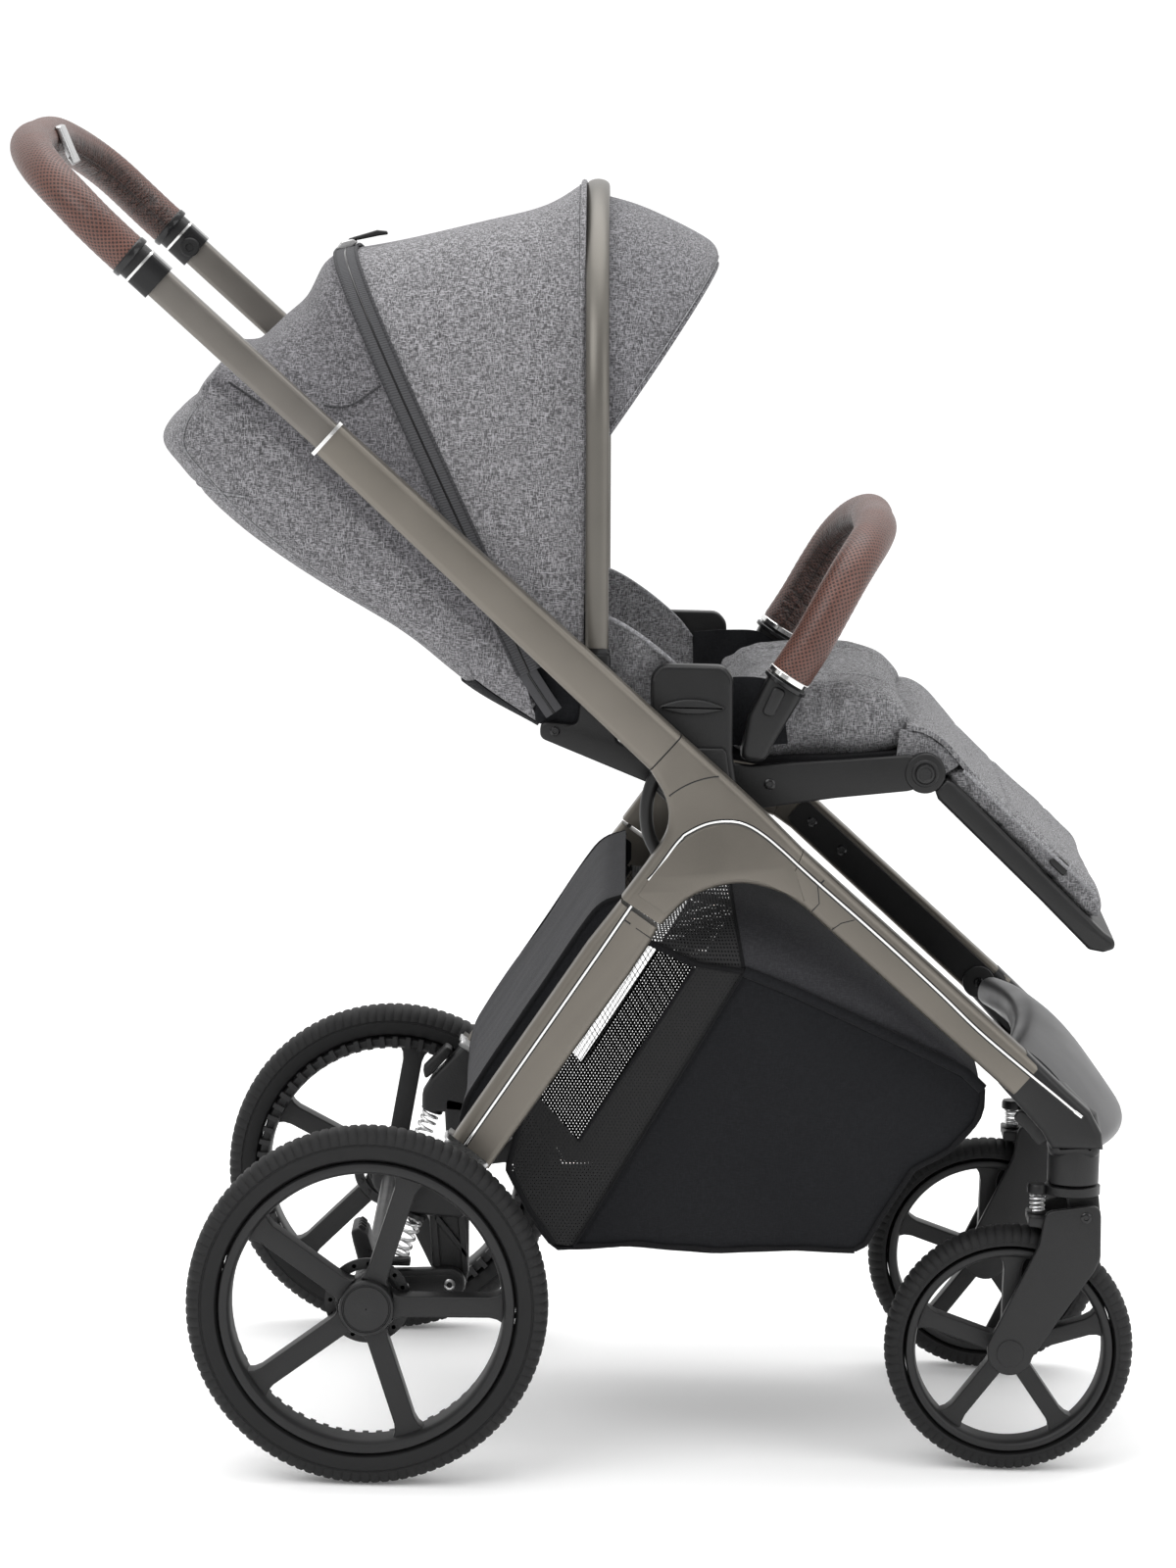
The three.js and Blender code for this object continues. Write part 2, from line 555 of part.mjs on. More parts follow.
const zipFoot = [-72, 648];
const zipCrown = [-232, 968];
add('canopy_main', archedSkin({
  foot: [zipFoot, [-50, 656], [-30, 672]],
  crown: [zipCrown, [-179, 981], [-118, 997], [-69, 1010], [-37, 1028]],
  half: CANOPY_HALF + 3, power: 3, across: 14, lengthwise: 5, thickness: CLOTH,
}), greyCloth);
add('canopy_rear', archedSkin({
  foot: [[-328, 872], [-262, 815], [-190, 748], [-120, 684], [zipFoot[0] - 6, zipFoot[1] + 4]],
  crown: [[-321, 886], [-302, 895], [-281, 917], [-265, 932], [-251, 957], [zipCrown[0] - 5, zipCrown[1]]],
  half: CANOPY_HALF + 3, power: 3, across: 14, lengthwise: 7, thickness: CLOTH,
}), greyCloth);
add('canopy_visor', archedSkin({
  foot: [[-8.5, 850], [-7, 842], [-5, 834]],
  crown: [[-9, 1022], [37, 1001], [74, 978]],
  half: CANOPY_HALF + 1, power: 2, across: 14, lengthwise: 4, thickness: CLOTH,
}), greyCloth);
add('zip_puller', slab([[-232, 969.5], [-230, 973], [-198, 982], [-196, 980], [-222, 972]], 4), chrome);

// ---------------------------------------------------------------- basket
// An open-topped cloth tub between the legs.
function inset(outline, distance) {
  const corners = outline.map(([x, z]) => new THREE.Vector2(x, z));
  const count = corners.length;
  return corners.map((corner, i) => {
    const before = corner.clone().sub(corners[(i + count - 1) % count]).normalize();
    const after = corners[(i + 1) % count].clone().sub(corner).normalize();
    const normal = new THREE.Vector2(-(before.y + after.y), before.x + after.x).normalize();
    const stretch = distance / Math.max(normal.dot(new THREE.Vector2(-after.y, after.x)), 0.4);
    return [corner.x + normal.x * stretch, corner.y + normal.y * stretch];
  });
}
const BASKET_HALF = 174;
const tubOutline = [
  [-40, 174], [192, 174], [216, 192], [250, 229], [302, 291], [304, 310], [289, 345], [190, 428], [98, 466],
  [42, 436], [-8, 366], [-72, 232],
];
function basket() {
  const inner = inset(tubOutline, 4);
  const mouth = [[-40, 366], [2, 366], [50, 425], [96, 451], [110, 520], [-60, 520]];
  const hollow = plate(inner, -(BASKET_HALF - 4), BASKET_HALF - 4);
  return cut(slab(tubOutline, BASKET_HALF), hollow, slab(mouth, BASKET_HALF - 10));
}
add('basket', basket(), darkCloth);
add('basket_flap', slab([
  [6, 464], [-6, 458], [-21, 440], [-54, 388], [-101, 315], [-117, 282], [-118, 232], [-106, 226], [-88, 268],
  [-40, 350], [0, 412], [18, 440], [18, 456],
], 176, 6), darkCloth);

export default stroller;
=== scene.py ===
# The looks of the baby stroller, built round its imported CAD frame.
# Drawing units are millimetres in the part's own drawing frame: +x forward, +y left, +z up.
# at() turns a drawn point into the row frame, in metres.
import bpy
import bmesh
from math import acos, atan2, cos, hypot, pi, radians, sin, sqrt
from mathutils import Matrix, Vector, noise


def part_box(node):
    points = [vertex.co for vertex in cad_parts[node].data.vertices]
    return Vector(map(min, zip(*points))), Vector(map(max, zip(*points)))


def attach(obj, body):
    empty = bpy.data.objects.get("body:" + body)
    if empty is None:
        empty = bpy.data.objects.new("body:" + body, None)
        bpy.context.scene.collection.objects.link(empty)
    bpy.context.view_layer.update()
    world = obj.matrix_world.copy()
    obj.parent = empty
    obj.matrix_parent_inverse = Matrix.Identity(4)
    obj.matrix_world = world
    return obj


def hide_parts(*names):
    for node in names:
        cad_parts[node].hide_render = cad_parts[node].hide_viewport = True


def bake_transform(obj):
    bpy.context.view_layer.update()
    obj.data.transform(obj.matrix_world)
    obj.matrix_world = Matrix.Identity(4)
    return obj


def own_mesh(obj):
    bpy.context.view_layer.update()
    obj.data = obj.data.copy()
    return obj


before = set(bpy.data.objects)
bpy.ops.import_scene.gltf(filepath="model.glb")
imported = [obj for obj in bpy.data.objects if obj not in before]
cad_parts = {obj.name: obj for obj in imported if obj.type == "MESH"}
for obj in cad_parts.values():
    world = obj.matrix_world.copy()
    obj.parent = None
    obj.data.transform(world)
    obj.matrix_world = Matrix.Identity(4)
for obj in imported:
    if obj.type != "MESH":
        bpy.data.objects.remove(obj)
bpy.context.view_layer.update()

MM = 0.001

# ---------------------------------------------------------------- driving dimensions, in millimetres
REAR_WHEEL = {"x": -186.4, "z": 145.0, "y": 275.5, "radius": 145.0, "width": 42.0, "opening": 108.5,
              "seat": 119.0, "hub": 22, "hub_half": 19.5, "spoke": 17, "spoke_half": 11, "ribs": 115}
FRONT_WHEEL = {"x": 333.3, "z": 101.35, "y": 178.2, "radius": 101.35, "width": 36.0, "opening": 76.0,
               "seat": 85.0, "hub": 14, "hub_half": 18.0, "spoke": 14, "spoke_half": 10, "ribs": 84}
INNER = 203.0  # inner and outer faces of the chassis tubes
OUTER = 229.0
FACE = 230.0  # outer face of the raised panels on the tubes
BAR_TOP = (-361.7, 962.6)
BAR_ANGLE = radians(41.2)
FOLD_CUT = 550.0
LEG_CUT = 684.0
LEG_END = 945.0
LEG_INSET = 15.0
SLEEVE_START = 183.0
SEAT_PIVOT = (66.0, 562.0)
LEGREST_PIVOT = (251.0, 570.0)
ARM_PIVOT = (-122.0, 152.0)
SWIVEL_X = 381.0
FORK_Y = FRONT_WHEEL["y"]
FORK_INNER = 20.6  # inner and outer faces of the fork's cheeks, from the wheel's middle
FORK_OUTER = 27.9
SPRING_Y = 221.7
GRIP_RADIUS = 17
REAR_HUB = (REAR_WHEEL["x"], REAR_WHEEL["z"])
SIDES = ("right", "left")

low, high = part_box("rear_tyre_right")
SHIFT = (low[0] + high[0]) / 2 / MM - REAR_WHEEL["x"]  # drawing x to row x


def at(x, y, z):
    """A drawn point in the row frame, in metres."""
    return Vector(((x + SHIFT) * MM, y * MM, z * MM))


def on_bar(along, above):
    """The x, z point at a distance along the long bar and above its top edge."""
    c, s = cos(BAR_ANGLE), sin(BAR_ANGLE)
    return (BAR_TOP[0] + along * c + above * s, BAR_TOP[1] - along * s + above * c)


# ---------------------------------------------------------------- curves in the drawing plane
def catmull(points, count, closed=False):
    """A smooth curve of about count points through points of any dimension."""
    pts = [Vector(p) for p in points]
    n = len(pts)
    spans = n if closed else n - 1
    out = []
    for i in range(spans):
        p1, p2 = pts[i], pts[(i + 1) % n]
        p0 = pts[(i - 1) % n] if closed or i > 0 else p1 * 2 - p2
        p3 = pts[(i + 2) % n] if closed or i + 2 < n else p2 * 2 - p1
        steps = max(1, round(count / spans))
        for k in range(steps):
            t = k / steps
            out.append(0.5 * ((2 * p1) + (p2 - p0) * t + (2 * p0 - 5 * p1 + 4 * p2 - p3) * t * t
                              + (3 * p1 - p0 - 3 * p2 + p3) * t ** 3))
    if not closed:
        out.append(pts[-1].copy())
    return [tuple(p) for p in out]


def even(points, count):
    """count points evenly spread along a polyline."""
    pts = [Vector(p) for p in points]
    lengths = [0.0]
    for a, b in zip(pts, pts[1:]):
        lengths.append(lengths[-1] + (b - a).length)
    out, j = [], 0
    for k in range(count):
        want = lengths[-1] * k / (count - 1)
        while j < len(pts) - 2 and lengths[j + 1] < want:
            j += 1
        span = lengths[j + 1] - lengths[j] or 1.0
        out.append(tuple(pts[j].lerp(pts[j + 1], min(1.0, (want - lengths[j]) / span))))
    return out


def curve_at(points, t):
    """The point at 0 to 1 along a smooth curve through a few points."""
    pts = [Vector(p) for p in points]
    n = len(pts) - 1
    i = min(int(t * n), n - 1)
    f = t * n - i
    p1, p2 = pts[i], pts[i + 1]
    p0 = pts[i - 1] if i > 0 else p1 * 2 - p2
    p3 = pts[i + 2] if i + 2 <= n else p2 * 2 - p1
    return 0.5 * ((2 * p1) + (p2 - p0) * f + (2 * p0 - 5 * p1 + 4 * p2 - p3) * f * f
                  + (3 * p1 - p0 - 3 * p2 + p3) * f ** 3)


def round_corners(outline, radius, steps=4):
    """The outline with each corner replaced by an arc, as large as its sides allow."""
    out = []
    n = len(outline)
    for i in range(n):
        before, corner, after = (Vector(outline[(i + k) % n]) for k in (-1, 0, 1))
        a, b = before - corner, after - corner
        if a.length < 1e-6 or b.length < 1e-6:
            continue
        turn = pi - a.angle(b)
        if turn < 0.12:
            out.append(tuple(corner))
            continue
        cut = min(radius * abs(sin(turn / 2) / cos(turn / 2)), a.length * 0.46, b.length * 0.46)
        start, end = corner + a.normalized() * cut, corner + b.normalized() * cut
        for k in range(steps + 1):
            t = k / steps
            out.append(tuple(start.lerp(corner, t).lerp(corner.lerp(end, t), t)))
    return out


def area_of(outline):
    """The signed area inside an outline, positive when it runs counter-clockwise."""
    n = len(outline)
    return sum(outline[i][0] * outline[(i + 1) % n][1] - outline[(i + 1) % n][0] * outline[i][1]
               for i in range(n)) / 2


def inset(outline, distance, ends=()):
    """The counter-clockwise outline, moved in by a distance. The two corners of a square end slide along it."""
    n = len(outline)
    out = []
    for i in range(n):
        p, q, r = (Vector(outline[(i + k) % n]) for k in (-1, 0, 1))
        a, b = (q - p), (r - q)
        slide = None
        for one, other in ends:
            for here, there in ((Vector(one), Vector(other)), (Vector(other), Vector(one))):
                if (q - here).length < 1e-3:
                    slide = (there - here).normalized()
        if slide is not None:
            one, other = a.normalized(), b.normalized()
            side = other if abs(one.dot(slide)) > abs(other.dot(slide)) else one
            share = max(abs(slide.x * side.y - slide.y * side.x), 0.4)
            out.append(tuple(q + slide * distance / share))
            continue
        if a.length < 1e-9 or b.length < 1e-9:
            out.append(tuple(q))
            continue
        a.normalize()
        b.normalize()
        normal = Vector((-(a.y + b.y), a.x + b.x))
        if normal.length < 1e-6:
            out.append(tuple(q))
            continue
        normal.normalize()
        reach = distance / max(normal.dot(Vector((-b.y, b.x))), 0.5)
        out.append(tuple(q + normal * reach))
    return out


def circle(x, z, radius, count=32):
    return [(x + radius * cos(2 * pi * k / count), z + radius * sin(2 * pi * k / count)) for k in range(count)]


def link(a, ra, b, rb, count=14):
    """The outline round two circles."""
    heading = atan2(b[1] - a[1], b[0] - a[0])
    lean = acos((ra - rb) / hypot(b[0] - a[0], b[1] - a[1]))
    out = []
    for k in range(count + 1):
        angle = heading + lean + (2 * pi - 2 * lean) * k / count
        out.append((a[0] + ra * cos(angle), a[1] + ra * sin(angle)))
    for k in range(count + 1):
        angle = heading - lean + 2 * lean * k / count
        out.append((b[0] + rb * cos(angle), b[1] + rb * sin(angle)))
    return out


# ---------------------------------------------------------------- meshes from the drawing
class Shape:
    """Vertices in drawing millimetres, faces, and UVs in metres where a weave or grain needs them."""

    def __init__(self):
        self.verts, self.faces, self.uvs, self.flat = [], [], [], set()

    def loop(self, points):
        start = len(self.verts)
        self.verts += [tuple(p) for p in points]
        return list(range(start, start + len(points)))

    def face(self, indices, uv=None, flat=False):
        if flat:
            self.flat.add(len(self.faces))
        self.faces.append(list(indices))
        self.uvs.append(uv)

    def bridge(self, a, b, closed=True, uv=None):
        n = len(a)
        for i in range(n if closed else n - 1):
            j = (i + 1) % n
            self.face((a[i], a[j], b[j], b[i]), uv(i) if uv else None)

    def loft(self, loops, flat=False):
        """Joins loops one after another and closes both ends."""
        for a, b in zip(loops, loops[1:]):
            self.bridge(a, b)
        self.face(loops[0][::-1], flat=flat)
        self.face(loops[-1], flat=flat)
        return self

    def add(self, other):
        start = len(self.verts)
        self.flat |= {i + len(self.faces) for i in other.flat}
        self.verts += other.verts
        self.faces += [[i + start for i in f] for f in other.faces]
        self.uvs += other.uvs
        return self

    def move(self, change):
        self.verts = [change(*v) for v in self.verts]
        return self

    def mirror(self):
        copy = Shape()
        copy.verts = [(x, -y, z) for x, y, z in self.verts]
        copy.faces = [list(reversed(f)) for f in self.faces]
        copy.uvs = [None if u is None else list(reversed(u)) for u in self.uvs]
        copy.flat = set(self.flat)
        return copy


def plate(outline, near, far, edge=2.0, inner_edge=None, steps=4, ends=()):
    """A plate of the right side, between two distances from the middle plane, with rounded edges.

    ends are pairs of neighbouring corners between which the plate is cut off square."""
    if area_of(outline) < 0:
        outline = outline[::-1]
    inner_edge = edge if inner_edge is None else inner_edge
    edge = min(edge, (far - near) * 0.49)
    inner_edge = min(inner_edge, (far - near) * 0.49)
    shape = Shape()
    rings = []
    for r, side in ((inner_edge, -1), (edge, 1)):
        count = steps if r > 0.05 else 0
        for k in range(count + 1):
            angle = (k / count if count else 0) * pi / 2
            if side < 0:
                depth, y = r * (1 - sin(angle)), near + r * (1 - cos(angle))
            else:
                depth, y = r * (1 - cos(angle)), far - r * (1 - sin(angle))
            rings.append([(x, -y, z) for x, z in (inset(outline, depth, ends) if depth > 1e-6 else outline)])
    return shape.loft([shape.loop(r) for r in rings], flat=True)


def slab(outline, half, edge=2.0):
    """A plate across the middle plane."""
    return plate(outline, -half, half, edge, edge)


def lathe(profile, centre, segments=48, wave=None):
    """A closed ring of revolution about the y axis. profile is r, y pairs; wave may change r and y."""
    shape = Shape()
    loops = []
    x0, y0, z0 = centre
    for k in range(segments):
        angle = 2 * pi * k / segments
        points = []
        for i, (r, y) in enumerate(profile):
            dr, dy = wave(i, k) if wave else (0.0, 0.0)
            points.append((x0 + (r + dr) * cos(angle), y0 + y + dy, z0 + (r + dr) * sin(angle)))
        loops.append(shape.loop(points))
    for k in range(segments):
        shape.bridge(loops[k], loops[(k + 1) % segments])
    return shape


def disc(centre, radius, near, far, edge=1.0, segments=40):
    """A disc on the right side, with a rounded rim."""
    return plate(circle(centre[0], centre[1], radius, segments), near, far, edge)


def turned(profile, base, direction, segments=28):
    """A solid turned about any axis. profile is (distance along, radius) pairs from end to end."""
    axis = Vector(direction).normalized()
    side = axis.orthogonal().normalized()
    up = axis.cross(side)
    shape = Shape()
    loops = []
    bearings = [2 * pi * k / segments for k in range(segments)]
    for d, r in profile:
        middle, r = Vector(base) + axis * d, max(r, 0.01)
        loops.append(shape.loop([tuple(middle + (side * cos(a) + up * sin(a)) * r) for a in bearings]))
    return shape.loft(loops)


def frames(path, first=None):
    """Tangent, side and up at each point of a path, without twist. first is where the first side points."""
    pts = [Vector(p) for p in path]
    n = len(pts)
    out = []
    side = None if first is None else Vector(first)
    for i in range(n):
        tangent = (pts[min(i + 1, n - 1)] - pts[max(i - 1, 0)]).normalized()
        if side is None:
            side = tangent.orthogonal().normalized()
        side = (side - tangent * side.dot(tangent)).normalized()
        out.append((tangent, side, tangent.cross(side)))
    return out


def tube(path, radius, sides=16, first=None, swell=None):
    """A tube along a path, with UVs in metres: u along it, v round it. swell changes the radius along it."""
    shape = Shape()
    pts = [Vector(p) for p in path]
    run = [0.0]
    for a, b in zip(pts, pts[1:]):
        run.append(run[-1] + (b - a).length)
    loops = []
    for p, gone, (_, side, up) in zip(pts, run, frames(path, first)):
        ring = []
        r = radius if swell is None else swell(gone, radius)
        for k in range(sides):
            angle = 2 * pi * k / sides
            ring.append(tuple(p + side * cos(angle) * r + up * sin(angle) * r))
        loops.append(shape.loop(ring))
    around = 2 * pi * radius * MM / sides
    for a, b, start, end in zip(loops, loops[1:], run, run[1:]):
        u0, u1 = start * MM, end * MM
        shape.bridge(a, b, uv=lambda k, u0=u0, u1=u1: [(u0, k * around), (u0, (k + 1) * around),
                                                       (u1, (k + 1) * around), (u1, k * around)])
    shape.face(loops[0][::-1])
    shape.face(loops[-1])
    return shape


def ribbon(points, y, width, proud, deep=0.6):
    """A thin strip along x, z points on the right side's face at y (a number or a function of x)."""
    pts = [Vector(p) for p in points]
    shape = Shape()
    loops = []
    for i, p in enumerate(pts):
        heading = (pts[min(i + 1, len(pts) - 1)] - pts[max(i - 1, 0)]).normalized()
        normal = Vector((-heading.y, heading.x)) * width / 2
        level = y(p.x) if callable(y) else y
        a, b = p + normal, p - normal
        soft = normal * 0.55
        loops.append(shape.loop([(a.x, -(level - deep), a.y), (a.x, -(level + proud * 0.5), a.y),
                                 ((p + soft).x, -(level + proud), (p + soft).y),
                                 ((p - soft).x, -(level + proud), (p - soft).y),
                                 (b.x, -(level + proud * 0.5), b.y), (b.x, -(level - deep), b.y)]))
    return shape.loft(loops)


def helix(a, b, radius, wire, turns, sides=8):
    """A coil spring between two points, with closed end turns."""
    start, end = Vector(a), Vector(b)
    axis = (end - start).normalized()
    side = axis.orthogonal().normalized()
    up = axis.cross(side)
    length = (end - start).length
    count = int(turns * 22)
    path = []
    for k in range(count + 1):
        t = k / count
        angle = 2 * pi * turns * t
        ease = t - 0.045 * sin(2 * pi * t)
        path.append(tuple(start + axis * (wire + (length - 2 * wire) * ease)
                          + (side * cos(angle) + up * sin(angle)) * (radius - wire)))
    return tube(path, wire, sides)


def lean_in(shape):
    """Leans a piece of the right side towards the middle, from the front leg's cut to its end."""
    start, end = on_bar(LEG_CUT, 0)[0], on_bar(LEG_END, 0)[0]

    def change(x, y, z):
        share = min(max((x - start) / (end - start), 0.0), 1.0)
        return (x, y + LEG_INSET * share, z)

    return shape.move(change)


# ---------------------------------------------------------------- objects from meshes
def piece(name, shape, material, body, slot=None, smooth=38.0, stands_for=()):
    """A finished object that rides on a body. Its slot, its material's usual one or a named one, is looked up
    but not kept.

    smooth is the angle over which an edge stays sharp."""
    mesh = bpy.data.meshes.new(name)
    mesh.from_pydata([at(*v) for v in shape.verts], [], shape.faces)
    mesh.polygons.foreach_set("use_smooth", [i not in shape.flat for i in range(len(shape.faces))])
    if any(u is not None for u in shape.uvs):
        layer = mesh.uv_layers.new(name="UVMap")
        values = []
        for face, uv in zip(shape.faces, shape.uvs):
            for i in range(len(face)):
                values += list(uv[i]) if uv is not None else [0.0, 0.0]
        layer.data.foreach_set("uv", values)
    work = bmesh.new()
    work.from_mesh(mesh)
    bmesh.ops.recalc_face_normals(work, faces=work.faces)
    work.to_mesh(mesh)
    work.free()
    mesh.validate()
    mesh.set_sharp_from_angle(angle=radians(smooth))
    mesh.materials.append(material)
    thing = bpy.data.objects.new(name, mesh)
    bpy.context.scene.collection.objects.link(thing)
    if body:
        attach(thing, body)
    slot or SLOT_OF[material.name]
    if stands_for:
        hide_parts(*stands_for)
    return thing


def both(name, shape, material, body, slot=None, stands_for=(), **options):
    """A piece on the right and its mirror image on the left. A node or body ending in _ gets its side."""
    made = []
    for side, form in zip(SIDES, (shape, shape.mirror())):
        where = body + side if body and body.endswith("_") else body
        nodes = [n + side if n.endswith("_") else n for n in stands_for]
        made.append(piece(f"{name}_{side}", form, material, where, slot, stands_for=nodes, **options))
    return made


def socket_bolt(x, z, y, outward, radius=4.6, height=2.6):
    """A round-headed bolt with a hexagonal socket. outward is +1 or -1 along y."""
    head = turned([(-1.0, radius), (height * 0.55, radius), (height, radius * 0.72), (height, radius * 0.5)],
                  (x, y, z), (0, outward, 0), 24)
    head.faces.pop()
    rim = list(range(3 * 24, 4 * 24))
    axis = Vector((0, outward, 0))
    side = axis.orthogonal().normalized()
    up = axis.cross(side)
    middle = Vector((x, y, z)) + axis * (height - 1.6)
    floor_loop = []
    for k in range(24):
        angle = 2 * pi * k / 24
        flat = radius * 0.42 / max(cos((angle % (pi / 3)) - pi / 6), 0.5)
        floor_loop.append(tuple(middle + (side * cos(angle) + up * sin(angle)) * flat))
    loop = head.loop(floor_loop)
    head.bridge(rim, loop)
    head.face(loop)
    return head


# ---------------------------------------------------------------- materials
class Surface:
    """A short way to write a material's nodes. Positions are metres in the object's own frame."""

    def __init__(self, name):
        self.material = bpy.data.materials.new(name)
        self.material.use_nodes = True
        self.tree = self.material.node_tree
        self.tree.nodes.clear()
        self.output = self.tree.nodes.new("ShaderNodeOutputMaterial")
        self.shader = self.tree.nodes.new("ShaderNodeBsdfPrincipled")
        self.tree.links.new(self.shader.outputs["BSDF"], self.output.inputs["Surface"])
        coordinates = self.tree.nodes.new("ShaderNodeTexCoord")
        self.place, self.uv = coordinates.outputs["Object"], coordinates.outputs["UV"]

    def node(self, kind, inputs=None, **settings):
        made = self.tree.nodes.new("ShaderNode" + kind)
        for key, value in settings.items():
            setattr(made, key, value)
        for key, value in (inputs or {}).items():
            self.put(made.inputs[key], value)
        return made

    def put(self, socket, value):
        if isinstance(value, bpy.types.NodeSocket):
            self.tree.links.new(value, socket)
        else:
            socket.default_value = value

    def math(self, operation, a, b=0.0, clamp=False):
        return self.node("Math", {0: a, 1: b}, operation=operation, use_clamp=clamp).outputs[0]

    def spread(self, value, low, high, to_low=0.0, to_high=1.0):
        wanted = {"Value": value, "From Min": low, "From Max": high, "To Min": to_low, "To Max": to_high}
        return self.node("MapRange", wanted).outputs[0]

    def mix(self, factor, a, b):
        made = self.node("Mix", {0: factor}, data_type="RGBA")
        for index, colour in ((6, a), (7, b)):
            self.put(made.inputs[index], colour if isinstance(colour, bpy.types.NodeSocket) else (*colour, 1.0))
        return made.outputs[2]

    def scaled(self, stretch):
        wanted = {"Vector": self.place, "Scale": stretch}
        return self.node("Mapping", wanted).outputs[0]

    def noise(self, scale, detail=2.0, vector=None):
        wanted = {"Vector": vector or self.place, "Scale": scale, "Detail": detail, "Roughness": 0.5}
        return self.node("TexNoise", wanted).outputs["Fac"]

    def cells(self, scale):
        return self.node("TexVoronoi", {"Vector": self.place, "Scale": scale}).outputs["Distance"]

    def bump(self, height, strength, distance, under=None):
        wanted = {"Height": height, "Strength": strength, "Distance": distance}
        if under is not None:
            wanted["Normal"] = under
        return self.node("Bump", wanted).outputs[0]

    def edges(self, low=0.52, high=0.62):
        """1 along convex edges, 0 elsewhere."""
        return self.spread(self.node("NewGeometry").outputs["Pointiness"], low, high)

    def set(self, **inputs):
        for key, value in inputs.items():
            socket = self.shader.inputs[key.replace("_", " ")]
            if key == "Base_Color" and not isinstance(value, bpy.types.NodeSocket):
                value = (*value, 1.0)
            self.put(socket, value)
        return self.material


def shade(colour, factor):
    """A darker or brighter colour."""
    return tuple(c * factor for c in colour)


def painted(name, colour, metal=0.55, roughness=0.4, edge_highlight=0.25):
    """Satin anodised or sprayed metal: a fine grain, faint cloudiness and a painted highlight that brightens
    its convex edges.
    """
    s = Surface(name)
    cloud = s.noise(14.0, 3.0)
    speck = s.noise(2600.0, 1.0)
    base = s.mix(s.spread(cloud, 0.35, 0.65), shade(colour, 0.93), shade(colour, 1.07))
    base = s.mix(s.spread(speck, 0.35, 0.7, 0.0, 0.3), base, shade(colour, 1.3))
    # Painted highlight: the convex edges are brightened.
    base = s.mix(s.math("MULTIPLY", s.edges(), edge_highlight), base, shade(colour, 2.0))
    rough = s.math("ADD", s.spread(cloud, 0.3, 0.7, -0.05, 0.05),
                   s.spread(speck, 0.3, 0.7, roughness, roughness + 0.08))
    return s.set(Base_Color=base, Metallic=metal, Roughness=rough, Normal=s.bump(speck, 0.12, 0.0002))


def moulded(name, colour, roughness=0.5, grain=0.35, size=900.0):
    """Moulded plastic with a spark-eroded grain, slightly shinier edges, and a painted highlight that makes its
    convex edges paler.
    """
    s = Surface(name)
    pits = s.cells(size)
    cloud = s.noise(30.0, 2.0)
    base = s.mix(s.spread(cloud, 0.35, 0.65), shade(colour, 0.9), shade(colour, 1.12))
    # Painted highlight: the convex edges are paler.
    base = s.mix(s.math("MULTIPLY", s.edges(), 0.35), base, shade(colour, 1.9))
    rough = s.math("ADD", s.spread(cloud, 0.3, 0.7, roughness - 0.04, roughness + 0.04),
                   s.spread(s.edges(), 0.0, 1.0, 0.0, -0.08))
    return s.set(Base_Color=base, Roughness=rough, Normal=s.bump(pits, grain, 0.00025),
                 Specular_IOR_Level=0.4)


def metal(name, colour, roughness):
    """Plated or drawn wire metal: faint drawing marks and a slight haze."""
    s = Surface(name)
    marks = s.noise(260.0, 2.0, s.scaled((1.0, 1.0, 6.0)))
    haze = s.noise(35.0, 2.0)
    base = s.mix(s.spread(haze, 0.3, 0.7), shade(colour, 0.94), colour)
    rough = s.spread(marks, 0.3, 0.7, roughness, roughness + 0.1)
    return s.set(Base_Color=base, Metallic=1.0, Roughness=rough, Normal=s.bump(marks, 0.06, 0.0001))


def rubber(name, colour):
    """Tyre rubber: matt and dusty in the tread, with a painted highlight that makes its convex edges paler."""
    s = Surface(name)
    dust = s.noise(60.0, 4.0)
    grain = s.noise(1800.0, 2.0)
    base = s.mix(s.spread(dust, 0.35, 0.7), shade(colour, 0.85), shade(colour, 1.25))
    # Painted highlight: the convex edges are paler.
    base = s.mix(s.math("MULTIPLY", s.edges(0.51, 0.6), 0.3), base, shade(colour, 2.2))
    return s.set(Base_Color=base, Roughness=s.spread(dust, 0.3, 0.7, 0.6, 0.78),
                 Normal=s.bump(grain, 0.25, 0.0002), Specular_IOR_Level=0.28)


